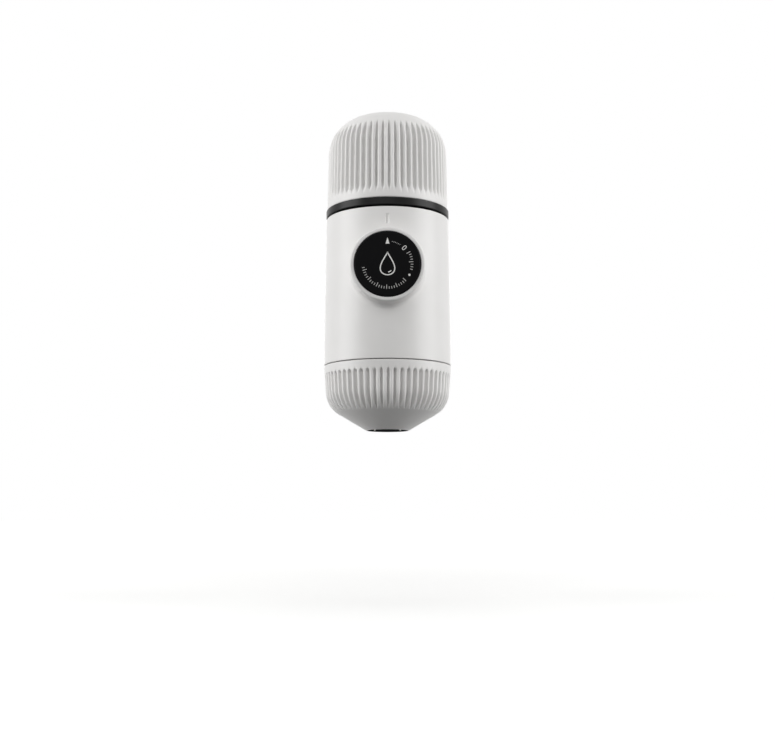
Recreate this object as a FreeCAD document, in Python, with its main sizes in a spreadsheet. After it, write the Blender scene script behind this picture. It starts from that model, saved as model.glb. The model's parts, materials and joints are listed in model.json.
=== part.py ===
"""Handheld manual espresso maker: water tank and cup above, hand pump in the middle, brewing head below.

Millimetres. +Z is up along the body's axis, the origin is the centre of the outlet ring's flat face,
and the pump knob faces -Y.
"""
import FreeCAD, Part
import os
import math
import Sketcher

doc = FreeCAD.newDocument("EspressoMaker")

# ---------------------------------------------------------------------------
# Driving dimensions. Heights are above the outlet ring, depths are along Y from the body's axis.
# ---------------------------------------------------------------------------
DIMENSIONS = {
    # main shell
    "shell_bottom_z": 31.45, "shell_top_z": 103.8,
    "shell_bottom_radius": 31.0, "shell_top_radius": 30.2,
    "shell_wall": 2.0, "shell_rim_height": 2.0, "shell_rim_radius": 27.5,
    "tick_bottom_z": 95.6, "tick_top_z": 99.9, "tick_width": 1.8, "tick_depth": 0.35,
    # collar round the knob
    "knob_z": 74.1, "collar_radius": 17.5, "collar_front": 39.2, "collar_back": 21.8,
    "collar_bore_radius": 15.55, "collar_lip_round": 1.1,
    "collar_fillet": 4.0, "bore_end": 20.0,
    # bayonet ring
    "ring_radius": 16.8, "ring_front": 26.0, "ring_back": 23.0, "lug_radius": 14.5, "lug_angle": 20,
    "lug_count": 3, "fit_gap": 0.1, "running_gap": 0.3,
    # knob
    "sleeve_radius": 15.25, "sleeve_inner_radius": 13.0, "sleeve_back": 2.5,
    "sleeve_relief": 6.4,
    "web_back": 34.55, "web_thickness": 1.5, "cap_back": 37.5, "cap_front": 39.7,
    "cap_edge": 0.5, "screw_seat_radius": 4.6, "groove_radius": 14.2,
    "groove_front": 26.4, "groove_back": 22.6, "groove_angle": 26, "lock_angle": 45,
    # pump
    "piston_stroke": 20, "pump_bore_radius": 7.0, "cylinder_radius": 8.6,
    "cylinder_back": 17.3, "chamber_back": 18.5, "flange_radius": 11.9, "flange_thickness": 2.0,
    "port_y": 15.3, "port_radius": 1.4, "piston_radius": 6.75, "piston_front": 6.5,
    "piston_length": 7.0, "seal_radius": 6.93, "seal_groove_radius": 5.3,
    "seal_front": 8.6, "seal_length": 2.4, "rod_radius": 3.0, "spigot_radius": 2.6,
    "gland_flange": 2.0, "knob_screw_radius": 4.2, "knob_screw_shank": 1.4,
    "knob_screw_depth": 9, "spring_radius": 10.9, "spring_wire": 1.3, "spring_turns": 6,
    "spring_sides": 12, "screw_tip_gap": 1.0,
    # chassis
    "socket_radius": 25.8, "socket_outer_radius": 28.0, "socket_top_z": 103.3,
    "socket_floor_z": 96.5, "socket_floor": 3.0, "pillar_width": 24, "pillar_front": -2.0,
    "pillar_back": 24, "deck_z": 36.5, "deck_radius": 28.5, "plug_bottom_z": 31.0,
    "neck_bottom_z": 21.0, "neck_radius": 26.6, "neck_inner_radius": 24.6,
    "neck_shoulder_radius": 27.2,
    "screen_step_radius": 23.2, "valve_y": 15.3, "valve_pocket_radius": 5.0,
    "inlet_pocket_z": 88.5, "outlet_pocket_z": 40.0, "strainer_radius": 7.0,
    "strainer_thickness": 0.8, "channel_radius": 1.5, "beak_taper": 20,
    # water tank and its gasket
    "neck_top_z": 104.7, "tank_neck_radius": 24.9, "tank_neck_inner_radius": 23.5,
    "gasket_inner_radius": 22.4, "gasket_radius": 25.4, "gasket_thickness": 1.5,
    "tank_flange_radius": 30.3, "tank_flange_top_z": 108.3, "tank_radius": 26.6,
    "tank_wall": 1.8, "tank_shoulder_z": 138.0, "tank_top_radius": 22.6, "tank_top_z": 146.4,
    # drinking cup
    "cup_rim_z": 108.35, "cup_rim_radius": 29.86, "cup_side_radius": 29.4,
    "cup_side_top_z": 137.0, "cup_shoulder_radius": 18.9, "cup_crown_radius": 35.0,
    "cup_knee_radius": 15.107, "cup_knee_z": 154.945,
    "cup_top_z": 156.0, "cup_flat_radius": 6.6, "cup_wall": 2.0,
    "cup_inner_knee_radius": 23.75, "cup_inner_knee_z": 147.2,
    "cup_inner_top_radius": 14.6, "cup_inner_top_z": 153.1,
    # flutes on the cup and the head
    "flute_count": 60, "flute_depth": 0.9, "flute_taper": 44, "flute_reach": 1.6,
    "flute_rise": 0.35, "flute_clear": 4.0,
    "cup_flute_turn": 1.5, "cup_flute_low_z": 112.8, "cup_flute_run_z": 115.0,
    "cup_flute_bend_radius": 27.6, "cup_flute_bend_z": 142.8,
    "cup_flute_end_radius": 25.1, "cup_flute_end_z": 148.7,
    "head_flute_turn": 0.6, "head_flute_top_z": 27.4, "head_flute_run_z": 25.0,
    "head_flute_bend_radius": 27.3, "head_flute_bend_z": 12.6,
    "head_flute_end_radius": 24.5, "head_flute_end_z": 8.35,
    # brewing head
    "head_top_z": 31.05, "head_top_radius": 30.97, "head_side_z": 18.3, "head_side_radius": 30.15,
    "head_corner_radius": 13.0, "head_cone_radius": 23.754, "head_cone_z": 7.903,
    "lip_radius": 10.4, "outlet_radius": 9.5, "outlet_depth": 3.0,
    "head_thread_radius": 27.5, "head_knee_z": 17.5, "head_floor_radius": 24.2,
    "head_floor_z": 10.5, "head_step_radius": 11.5,
    # funnel, basket, screen and gasket
    "funnel_hub_radius": 10.1, "funnel_floor_z": 6.0, "funnel_wall": 1.8,
    "funnel_foot_radius": 11.2, "stand_radius": 22.7, "stand_inner_radius": 21.1,
    "stand_top_z": 26.2, "funnel_hole_radius": 2.0,
    "basket_radius": 20.8, "basket_wall": 0.6, "basket_bottom_z": 12.4,
    "basket_flange_radius": 24.0, "basket_flange": 0.8,
    "shower_gasket_inner_radius": 20.6, "shower_gasket_radius": 24.2,
    "shower_gasket_thickness": 1.5, "screen_radius": 24.3, "screen_thickness": 0.6,
    "screen_screw_radius": 3.5, "screen_screw_head": 1.1, "screen_screw_shank": 1.5,
    "screen_screw_depth": 5,
    # nozzle
    "nozzle_skirt": 0.35, "nozzle_thickness": 1.5, "nozzle_bore_radius": 1.6,
    "nozzle_stem_radius": 5.0, "nozzle_seal_radius": 6.6, "nozzle_valve_radius": 4.2,
}


class Size:
    """A length or an angle, kept both as its value and as the expression that binds it to the sheet."""

    def __init__(self, value, text):
        self.value = float(value)
        self.text = text

    def __add__(self, other):
        other = as_size(other)
        return Size(self.value + other.value, f"({self.text} + {other.text})")

    def __sub__(self, other):
        other = as_size(other)
        return Size(self.value - other.value, f"({self.text} - {other.text})")

    def __rsub__(self, other):
        return as_size(other) - self

    def __mul__(self, other):
        other = as_size(other)
        return Size(self.value * other.value, f"{self.text} * {other.text}")

    def __truediv__(self, other):
        other = as_size(other)
        return Size(self.value / other.value, f"{self.text} / {other.text}")

    def __neg__(self):
        return Size(-self.value, f"(-1 * {self.text})")


def as_size(number):
    """A plain number as a Size."""
    return number if isinstance(number, Size) else Size(number, str(number))


def make_sheet():
    """Write the driving dimensions into a spreadsheet and return them as Sizes by alias."""
    sheet = doc.addObject("Spreadsheet::Sheet", "Dimensions")
    sizes = {}
    for row, (alias, value) in enumerate(DIMENSIONS.items(), start=1):
        sheet.set(f"A{row}", alias)
        sheet.set(f"B{row}", str(value))
        sheet.setAlias(f"B{row}", alias)
        sizes[alias] = Size(value, f"Dimensions.{alias}")
    doc.recompute()
    return sizes


d = make_sheet()


# ---------------------------------------------------------------------------
# Sketch and feature helpers
# ---------------------------------------------------------------------------
def new_body(name, height=None):
    """A body named for its piece; height raises its placement along Z."""
    body = doc.addObject("PartDesign::Body", name)
    body.Label = name
    if height is not None:
        body.setExpression(".Placement.Base.z", height.text)
    return body


def origin_plane(body, role):
    """One of the body's own origin planes."""
    return next(f for f in body.Origin.OriginFeatures if f.Role == role)


def new_sketch(body, name, role, offset=None):
    """A sketch on one of the body's origin planes, moved along its normal by offset."""
    sketch = body.newObject("Sketcher::SketchObject", name)
    sketch.AttachmentSupport = (origin_plane(body, role), [""])
    sketch.MapMode = "FlatFace"
    if offset is not None:
        sketch.setExpression(".AttachmentOffset.Base.z", offset.text)
    return sketch


def bind_constraint(sketch, constraint, size):
    """Add a dimensional constraint and bind it to the sheet."""
    index = sketch.addConstraint(constraint)
    sketch.setExpression(f"Constraints[{index}]", size.text)


def place_vertex(sketch, edge, point, x, y):
    """Hold one end of an edge at sheet-bound coordinates measured from the sketch's origin."""
    for kind, size in (("DistanceX", x), ("DistanceY", y)):
        if abs(size.value) < 1e-9:
            axis = -2 if kind == "DistanceX" else -1
            sketch.addConstraint(Sketcher.Constraint("PointOnObject", edge, point, axis))
        else:
            bind_constraint(
                sketch, Sketcher.Constraint(kind, -1, 1, edge, point, size.value), size)


def arc_centre(start, end, radius, side):
    """Centre of the arc of this radius from start to end; side +1 puts it left of the chord."""
    chord = end - start
    height = math.sqrt(radius ** 2 - (chord.Length / 2) ** 2)
    left = FreeCAD.Vector(-chord.y, chord.x, 0) / chord.Length
    return (start + end) / 2 + left * height * side


def draw_outline(sketch, points):
    """Draw a closed outline through points given as (x, y) or (x, y, arc radius, side).

    An arc radius makes the edge that leads from that point to the next one an arc.
    """
    places = [FreeCAD.Vector(as_size(p[0]).value, as_size(p[1]).value, 0) for p in points]
    for index, point in enumerate(points):
        start, end = places[index], places[(index + 1) % len(points)]
        if len(point) == 2:
            sketch.addGeometry(Part.LineSegment(start, end), False)
            continue
        radius, side = as_size(point[2]), point[3]
        centre = arc_centre(start, end, radius.value, side)
        first, last = (start, end) if side > 0 else (end, start)
        angles = [math.atan2(p.y - centre.y, p.x - centre.x) for p in (first, last)]
        circle = Part.Circle(centre, FreeCAD.Vector(0, 0, 1), radius.value)
        sketch.addGeometry(Part.ArcOfCircle(circle, *angles), False)
        bind_constraint(sketch, Sketcher.Constraint("Radius", index, radius.value), radius)
    for index, point in enumerate(points):
        before = (index - 1) % len(points)
        start_end = 2 if len(point) == 4 and point[3] < 0 else 1
        before_end = 1 if len(points[before]) == 4 and points[before][3] < 0 else 2
        sketch.addConstraint(
            Sketcher.Constraint("Coincident", before, before_end, index, start_end))
        place_vertex(sketch, index, start_end, as_size(point[0]), as_size(point[1]))


def draw_circle(sketch, x, y, radius):
    """Draw one sheet-bound circle."""
    x, y = as_size(x), as_size(y)
    centre = FreeCAD.Vector(x.value, y.value, 0)
    edge = sketch.addGeometry(
        Part.Circle(centre, FreeCAD.Vector(0, 0, 1), radius.value), False)
    bind_constraint(sketch, Sketcher.Constraint("Radius", edge, radius.value), radius)
    place_vertex(sketch, edge, 3, x, y)


def rectangle(x_low, y_low, x_high, y_high):
    """The four corners of a rectangle, in order."""
    return [(x_low, y_low), (x_high, y_low), (x_high, y_high), (x_low, y_high)]


def revolve(body, name, role, points, kind="PartDesign::Revolution", angle=None):
    """Turn an outline about the sketch's vertical axis, as a Revolution or a Groove."""
    sketch = new_sketch(body, name + "_outline", role)
    draw_outline(sketch, points)
    feature = body.newObject(kind, name)
    feature.Profile = sketch
    feature.ReferenceAxis = (sketch, ["V_Axis"])
    if angle is not None:
        feature.setExpression("Angle", angle.text)
    else:
        feature.Angle = 360
    return feature


def turned_z(name, points):
    """A piece turned about the body's upright axis: points are (radius, height)."""
    body = new_body(name)
    revolve(body, "turned", "XZ_Plane", points)
    return body


def turned_y(name, points):
    """A piece turned about the pump's axis: points are (radius, y), at the knob's height."""
    body = new_body(name, d["knob_z"])
    revolve(body, "turned", "XY_Plane", points)
    return body


def ring(inner, outer, low, high):
    """The outline of a plain ring."""
    return rectangle(inner, low, outer, high)


def extrude(sketch, kind, length, reverse=False):
    """Pad or pocket a sketch along its normal by a sheet-bound length."""
    feature = sketch.getParentGeoFeatureGroup().newObject(kind, sketch.Name + "_feature")
    feature.Profile = sketch
    feature.setExpression("Length", as_size(length).text)
    feature.Reversed = reverse
    return feature


def drill_z(body, name, x, y, radius, top, depth):
    """A round pocket from height top down by depth."""
    sketch = new_sketch(body, name, "XY_Plane", as_size(top))
    draw_circle(sketch, x, y, radius)
    return extrude(sketch, "PartDesign::Pocket", depth)


def cut_flutes(body, points, turn):
    """Cut the flutes: a V-shaped groove along a path in the radial plane, repeated round the axis.

    The path's outline lies in the plane of the first groove; it is cut to both sides of that plane,
    and a taper draws the two sides together towards the groove's floor.
    """
    sketch = new_sketch(body, "flute", "XZ_Plane")
    draw_outline(sketch, points)
    groove = body.newObject("PartDesign::Pocket", "flute_groove")
    groove.Profile = sketch
    groove.SideType = "Two sides"
    groove.setExpression("Length", d["flute_reach"].text)
    groove.setExpression("Length2", d["flute_reach"].text)
    groove.setExpression("TaperAngle", (-d["flute_taper"]).text)
    groove.setExpression("TaperAngle2", (-d["flute_taper"]).text)
    doc.recompute()
    pattern = body.newObject("PartDesign::PolarPattern", "flutes")
    pattern.Originals = [groove]
    pattern.Axis = (origin_plane(body, "Z_Axis"), [""])
    pattern.Angle = 360
    pattern.setExpression("Occurrences", d["flute_count"].text)
    body.Tip = pattern
    body.setExpression(".Placement.Rotation.Angle", turn.text)


# ---------------------------------------------------------------------------
# Outer pieces
# ---------------------------------------------------------------------------
def make_drinking_cup():
    """The drinking cup: a fluted dome with a drafted side, its mouth downwards over the tank."""
    body = turned_z("drinking_cup", [
        (d["cup_rim_radius"], d["cup_rim_z"]),
        (d["cup_side_radius"], d["cup_side_top_z"], d["cup_shoulder_radius"], 1),
        (d["cup_knee_radius"], d["cup_knee_z"], d["cup_crown_radius"], 1),
        (d["cup_flat_radius"], d["cup_top_z"]),
        (0, d["cup_top_z"]),
        (0, d["cup_inner_top_z"]),
        (d["cup_inner_top_radius"], d["cup_inner_top_z"]),
        (d["cup_inner_knee_radius"], d["cup_inner_knee_z"]),
        (d["cup_side_radius"] - d["cup_wall"], d["cup_side_top_z"]),
        (d["cup_rim_radius"] - d["cup_wall"], d["cup_rim_z"]),
    ])
    clear = d["cup_rim_radius"] + d["flute_clear"]
    floor = d["cup_side_radius"] - d["flute_depth"]
    cut_flutes(body, [
        (d["cup_rim_radius"] + d["fit_gap"], d["cup_flute_low_z"]),
        (clear, d["cup_flute_low_z"]),
        (clear, d["cup_flute_end_z"] + d["flute_clear"]),
        (d["cup_flute_end_radius"], d["cup_flute_end_z"]),
        (d["cup_flute_bend_radius"], d["cup_flute_bend_z"]),
        (floor, d["cup_side_top_z"]),
        (floor + d["flute_rise"], d["cup_flute_run_z"]),
    ], d["cup_flute_turn"])
    return body


def make_water_tank():
    """The water tank: an upturned beaker whose flange ring shows between the cup and the shell."""
    wall = d["tank_wall"]
    neck_bottom = d["socket_floor_z"] + d["gasket_thickness"]
    return turned_z("water_tank", [
        (d["tank_neck_inner_radius"], neck_bottom),
        (d["tank_neck_radius"], neck_bottom),
        (d["tank_neck_radius"], d["neck_top_z"]),
        (d["tank_flange_radius"], d["neck_top_z"]),
        (d["tank_flange_radius"], d["tank_flange_top_z"]),
        (d["tank_radius"], d["tank_flange_top_z"]),
        (d["tank_radius"], d["tank_shoulder_z"]),
        (d["tank_top_radius"], d["tank_top_z"]),
        (0, d["tank_top_z"]),
        (0, d["tank_top_z"] - wall),
        (d["tank_top_radius"] - wall / 2, d["tank_top_z"] - wall),
        (d["tank_radius"] - wall, d["tank_shoulder_z"]),
        (d["tank_radius"] - wall, d["tank_flange_top_z"]),
        (d["tank_neck_inner_radius"], d["neck_top_z"]),
    ])


def make_main_shell():
    """The main shell: a slightly tapered tube with a raised collar for the knob."""
    body = new_body("main_shell")
    wall = d["shell_wall"]
    rim_top = d["shell_bottom_z"] + d["shell_rim_height"]
    revolve(body, "tube", "XZ_Plane", [
        (d["shell_rim_radius"], d["shell_bottom_z"]),
        (d["shell_bottom_radius"], d["shell_bottom_z"]),
        (d["shell_top_radius"], d["shell_top_z"]),
        (d["shell_top_radius"] - wall, d["shell_top_z"]),
        (d["shell_bottom_radius"] - wall, rim_top),
        (d["shell_rim_radius"], rim_top),
    ])

    collar = new_sketch(body, "collar", "XZ_Plane", d["collar_back"])
    draw_circle(collar, 0, d["knob_z"], d["collar_radius"])
    extrude(collar, "PartDesign::Pad", d["collar_front"] - d["collar_back"])
    doc.recompute()

    round_edges(body, "collar_blend", is_blend_edge, d["collar_fillet"])
    round_edges(body, "collar_lip", is_lip_edge, d["collar_lip_round"])

    bore = new_sketch(body, "collar_bore", "XZ_Plane", d["bore_end"])
    draw_circle(bore, 0, d["knob_z"], d["collar_bore_radius"])
    extrude(bore, "PartDesign::Pocket", d["collar_front"], reverse=True)

    seat = new_sketch(body, "ring_seat", "XZ_Plane", d["bore_end"])
    draw_circle(seat, 0, d["knob_z"], d["ring_radius"] + d["fit_gap"])
    extrude(seat, "PartDesign::Pocket", d["ring_front"] - d["bore_end"], reverse=True)

    half_tick = d["tick_width"] / 2
    tick = new_sketch(body, "tick", "XZ_Plane",
                      d["shell_top_radius"] - d["tick_depth"])
    draw_outline(tick, rectangle(-half_tick, d["tick_bottom_z"], half_tick, d["tick_top_z"]))
    extrude(tick, "PartDesign::Pocket", d["shell_wall"], reverse=True)
    return body


def round_edges(body, name, test, radius):
    """Round the edges of the body's last feature that pass the test."""
    doc.recompute()
    base = body.Tip
    edges = [f"Edge{i + 1}" for i, edge in enumerate(base.Shape.Edges) if test(edge)]
    rounding = body.newObject("PartDesign::Fillet", name)
    rounding.Base = (base, edges)
    rounding.setExpression("Radius", radius.text)


def is_blend_edge(edge):
    """True for the curve along which the collar's flank leaves the outside of the tube."""
    flank = d["collar_radius"].value
    outside = d["shell_top_radius"].value - d["shell_wall"].value / 2
    points = edge.discretize(9)
    on_flank = all(
        abs(math.hypot(p.x, p.z - d["knob_z"].value) - flank) < 0.05 for p in points)
    on_tube = all(math.hypot(p.x, p.y) > outside for p in points)
    bends = edge.BoundBox.XLength > flank and edge.BoundBox.YLength > d["cap_edge"].value
    return on_flank and on_tube and bends


def is_lip_edge(edge):
    """True for the collar's front rim."""
    reach = edge.BoundBox
    return abs(reach.YMin + d["collar_front"].value) < 0.01 and reach.YLength < 0.01


def make_outlet_head():
    """The skin of the brewing head: a fluted drafted side, a round corner, a cone and the outlet ring."""
    bore = d["outlet_radius"] + d["nozzle_skirt"] + d["fit_gap"]
    body = turned_z("outlet_head", [
        (bore, 0),
        (d["lip_radius"], 0),
        (d["head_cone_radius"], d["head_cone_z"], d["head_corner_radius"], 1),
        (d["head_side_radius"], d["head_side_z"]),
        (d["head_top_radius"], d["head_top_z"]),
        (d["head_thread_radius"], d["head_top_z"]),
        (d["head_thread_radius"], d["head_knee_z"]),
        (d["head_floor_radius"], d["head_floor_z"]),
        (d["head_step_radius"], d["outlet_depth"]),
        (bore, d["outlet_depth"]),
    ])
    clear = d["head_top_radius"] + d["flute_clear"]
    floor = d["head_side_radius"] - d["flute_depth"]
    cut_flutes(body, [
        (d["head_top_radius"], d["head_flute_top_z"]),
        (floor + d["flute_rise"], d["head_flute_run_z"]),
        (floor, d["head_side_z"]),
        (d["head_flute_bend_radius"], d["head_flute_bend_z"]),
        (d["head_flute_end_radius"], d["head_flute_end_z"]),
        (clear, d["head_flute_end_z"] - d["flute_clear"]),
        (clear, d["head_flute_top_z"]),
    ], d["head_flute_turn"])
    return body


# ---------------------------------------------------------------------------
# Inner moulding and the water's way in
# ---------------------------------------------------------------------------
def make_pump_chassis():
    """The inner moulding: tank socket on top, pump block in the middle, threaded neck below."""
    body = new_body("pump_chassis")
    screen_z = d["stand_top_z"] + d["basket_flange"] + d["shower_gasket_thickness"]
    step_z = screen_z + d["screen_thickness"]
    rim_top = d["shell_bottom_z"] + d["shell_rim_height"]
    revolve(body, "neck_and_deck", "XZ_Plane", [
        (0, d["plug_bottom_z"]),
        (d["screen_step_radius"], d["plug_bottom_z"]),
        (d["screen_step_radius"], step_z),
        (d["neck_inner_radius"], step_z),
        (d["neck_inner_radius"], d["neck_bottom_z"]),
        (d["neck_radius"], d["neck_bottom_z"]),
        (d["neck_radius"], d["shell_bottom_z"]),
        (d["neck_shoulder_radius"], d["shell_bottom_z"]),
        (d["neck_shoulder_radius"], rim_top),
        (d["deck_radius"], rim_top),
        (d["deck_radius"], d["deck_z"]),
        (0, d["deck_z"]),
    ])

    half_width = d["pillar_width"] / 2
    pillar = new_sketch(body, "pillar", "XY_Plane", d["deck_z"])
    draw_outline(pillar, rectangle(-half_width, d["pillar_front"], half_width, d["pillar_back"]))
    socket_bottom = d["socket_floor_z"] - d["socket_floor"]
    extrude(pillar, "PartDesign::Pad", socket_bottom - d["deck_z"])

    revolve(body, "socket", "XZ_Plane", [
        (0, socket_bottom),
        (d["socket_outer_radius"], socket_bottom),
        (d["socket_outer_radius"], d["socket_top_z"]),
        (d["socket_radius"], d["socket_top_z"]),
        (d["socket_radius"], d["socket_floor_z"]),
        (0, d["socket_floor_z"]),
    ])

    cylinder_seat = new_sketch(body, "cylinder_seat", "XZ_Plane", -d["chamber_back"])
    draw_circle(cylinder_seat, 0, d["knob_z"], d["cylinder_radius"] + d["fit_gap"])
    extrude(cylinder_seat, "PartDesign::Pocket", d["chamber_back"] - d["pillar_front"], reverse=True)

    y = d["valve_y"]
    drill_z(body, "strainer_seat", 0, y, d["strainer_radius"] + d["fit_gap"],
            d["socket_floor_z"], d["strainer_thickness"])
    drill_z(body, "inlet_pocket", 0, y, d["valve_pocket_radius"],
            d["socket_floor_z"], d["socket_floor_z"] - d["inlet_pocket_z"])
    drill_z(body, "inlet_channel", 0, y, d["channel_radius"],
            d["inlet_pocket_z"], d["inlet_pocket_z"] - d["knob_z"])
    drill_z(body, "outlet_channel", 0, y, d["channel_radius"],
            d["knob_z"], d["knob_z"] - d["outlet_pocket_z"])
    drill_z(body, "outlet_pocket", 0, y, d["valve_pocket_radius"],
            d["outlet_pocket_z"], d["outlet_pocket_z"] - d["plug_bottom_z"])
    drill_z(body, "screw_hole", 0, 0, d["screen_screw_shank"] + d["fit_gap"],
            d["plug_bottom_z"] + d["screen_screw_depth"], d["screen_screw_depth"])
    return body


def make_inlet_strainer():
    """The strainer disc, flush with the socket's floor over the inlet valve."""
    body = new_body("inlet_strainer")
    sketch = new_sketch(body, "disc", "XY_Plane", d["socket_floor_z"] - d["strainer_thickness"])
    draw_circle(sketch, 0, d["valve_y"], d["strainer_radius"])
    extrude(sketch, "PartDesign::Pad", d["strainer_thickness"])
    return body


def make_inlet_valve():
    """The inlet valve: a silicone cap on a stem that stands in the channel's mouth."""
    body = new_body("inlet_valve")
    base_z = d["inlet_pocket_z"]
    cap = new_sketch(body, "cap", "XY_Plane", base_z)
    draw_circle(cap, 0, d["valve_y"], d["valve_pocket_radius"] - d["running_gap"])
    extrude(cap, "PartDesign::Pad", d["channel_radius"])
    stem = new_sketch(body, "stem", "XY_Plane", base_z)
    draw_circle(stem, 0, d["valve_y"], d["channel_radius"] - d["running_gap"])
    extrude(stem, "PartDesign::Pad", d["valve_pocket_radius"], reverse=True)
    return body


def make_outlet_valve():
    """The outlet valve: a silicone sleeve that narrows downwards to its slit."""
    body = new_body("outlet_valve")
    flange_top = d["plug_bottom_z"] + d["channel_radius"]
    flange = new_sketch(body, "flange", "XY_Plane", flange_top)
    draw_circle(flange, 0, d["valve_y"], d["valve_pocket_radius"] - d["fit_gap"])
    extrude(flange, "PartDesign::Pad", d["channel_radius"])
    beak = new_sketch(body, "beak", "XY_Plane", flange_top + d["channel_radius"])
    draw_circle(beak, 0, d["valve_y"], d["channel_radius"] * 2)
    cone = extrude(beak, "PartDesign::Pad", d["valve_pocket_radius"])
    cone.setExpression("TaperAngle", (-d["beak_taper"]).text)
    return body


# ---------------------------------------------------------------------------
# Hand pump. Depths count from the axis of the body towards the knob, which faces -Y.
# ---------------------------------------------------------------------------
def make_pump_cylinder():
    """The pump cylinder with its mounting flange and a port at each side of its closed end."""
    flange_back = d["pillar_front"]
    flange_front = flange_back - d["flange_thickness"]
    front = d["piston_front"] - d["piston_stroke"] - d["running_gap"]
    body = turned_y("pump_cylinder", [
        (d["pump_bore_radius"], front - d["gland_flange"]),
        (d["cylinder_radius"], front - d["gland_flange"]),
        (d["cylinder_radius"], flange_front),
        (d["flange_radius"], flange_front),
        (d["flange_radius"], flange_back),
        (d["cylinder_radius"], flange_back),
        (d["cylinder_radius"], d["cylinder_back"]),
        (d["pump_bore_radius"], d["cylinder_back"]),
    ])
    drill_z(body, "ports", 0, d["port_y"], d["port_radius"],
            d["cylinder_radius"] * 2, d["cylinder_radius"] * 4)
    return body


def make_cylinder_seal():
    """The flat seal between the cylinder's end and the chassis."""
    return turned_y("cylinder_seal", ring(
        d["pump_bore_radius"], d["cylinder_radius"], d["cylinder_back"], d["chamber_back"]))


def make_cylinder_gland():
    """The gland at the cylinder's mouth: it guides the rod and stops the piston."""
    back = d["piston_front"] - d["piston_stroke"] - d["running_gap"]
    face = back - d["gland_flange"]
    bore = d["rod_radius"] + d["fit_gap"]
    return turned_y("cylinder_gland", [
        (bore, face - d["gland_flange"]),
        (d["cylinder_radius"], face - d["gland_flange"]),
        (d["cylinder_radius"], face),
        (d["pump_bore_radius"] - d["fit_gap"], face),
        (d["pump_bore_radius"] - d["fit_gap"], back),
        (bore, back),
    ])


def make_piston_rod():
    """The piston and its rod, with a spigot that the knob turns on."""
    web_front = -(d["web_back"] + d["web_thickness"])
    tip = web_front
    hole = d["knob_screw_shank"] + d["fit_gap"]
    seal_end = d["seal_front"] + d["seal_length"]
    return turned_y("piston_rod", [
        (hole, tip),
        (d["spigot_radius"], tip),
        (d["spigot_radius"], d["fit_gap"] / 2 - d["web_back"]),
        (d["rod_radius"], d["fit_gap"] / 2 - d["web_back"]),
        (d["rod_radius"], d["piston_front"]),
        (d["piston_radius"], d["piston_front"]),
        (d["piston_radius"], d["seal_front"]),
        (d["seal_groove_radius"], d["seal_front"]),
        (d["seal_groove_radius"], seal_end),
        (d["piston_radius"], seal_end),
        (d["piston_radius"], d["piston_front"] + d["piston_length"]),
        (0, d["piston_front"] + d["piston_length"]),
        (0, tip + d["knob_screw_depth"]),
        (hole, tip + d["knob_screw_depth"]),
    ])


def make_piston_seal():
    """The piston's seal, in its groove."""
    return turned_y("piston_seal", ring(
        d["seal_groove_radius"] + d["fit_gap"] / 2, d["seal_radius"],
        d["seal_front"] + d["fit_gap"], d["seal_front"] + d["seal_length"] - d["fit_gap"]))


def make_knob_screw():
    """The screw that holds the knob on the rod's spigot."""
    seat = -(d["web_back"] + d["web_thickness"] + d["fit_gap"] / 2)
    return turned_y("knob_screw", [
        (0, -d["cap_back"] + d["fit_gap"]),
        (d["knob_screw_radius"], -d["cap_back"] + d["fit_gap"]),
        (d["knob_screw_radius"], seat),
        (d["knob_screw_shank"], seat),
        (d["knob_screw_shank"], seat + d["knob_screw_depth"] - d["screw_tip_gap"]),
        (0, seat + d["knob_screw_depth"] - d["screw_tip_gap"]),
    ])


def make_knob_sleeve():
    """The knob's sleeve: open at the back, with bayonet grooves round its outside.

    Its back end is relieved all round, so that the pulled-out knob turns freely behind the lugs.
    """
    web_front = -(d["web_back"] + d["web_thickness"])
    hole = d["spigot_radius"] + d["fit_gap"]
    body = turned_y("knob_sleeve", [
        (hole, web_front),
        (d["screw_seat_radius"], web_front),
        (d["screw_seat_radius"], -d["cap_back"]),
        (d["sleeve_radius"], -d["cap_back"]),
        (d["sleeve_radius"], -d["sleeve_relief"]),
        (d["groove_radius"], -d["sleeve_relief"]),
        (d["groove_radius"], -d["sleeve_back"]),
        (d["sleeve_inner_radius"], -d["sleeve_back"]),
        (d["sleeve_inner_radius"], -d["web_back"]),
        (hole, -d["web_back"]),
    ])
    outside = d["sleeve_radius"] + d["running_gap"]
    lengthways = revolve(body, "slide_groove", "XY_Plane", rectangle(
        d["groove_radius"], -d["groove_front"], outside, d["fit_gap"] - d["sleeve_relief"]),
        kind="PartDesign::Groove", angle=d["groove_angle"])
    lengthways.Midplane = True
    around = revolve(body, "lock_groove", "XY_Plane", rectangle(
        d["groove_radius"], -d["groove_front"], outside, -d["groove_back"]),
        kind="PartDesign::Groove", angle=d["lock_angle"] + d["groove_angle"] / 2)
    around.Reversed = False
    pattern = body.newObject("PartDesign::PolarPattern", "bayonet")
    pattern.Originals = [lengthways, around]
    pattern.Axis = (origin_axis(body, "Y_Axis"), [""])
    pattern.Angle = 360
    pattern.setExpression("Occurrences", d["lug_count"].text)
    body.Tip = pattern
    return body


def origin_axis(body, role):
    """One of the body's own origin axes."""
    return next(f for f in body.Origin.OriginFeatures if f.Role == role)


def make_knob_cap():
    """The knob's cap: the flat dial face with a small edge break."""
    edge = d["cap_edge"]
    return turned_y("knob_cap", [
        (0, -d["cap_front"]),
        (d["sleeve_radius"] - edge, -d["cap_front"]),
        (d["sleeve_radius"], edge - d["cap_front"]),
        (d["sleeve_radius"], -d["cap_back"]),
        (0, -d["cap_back"]),
    ])


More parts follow.
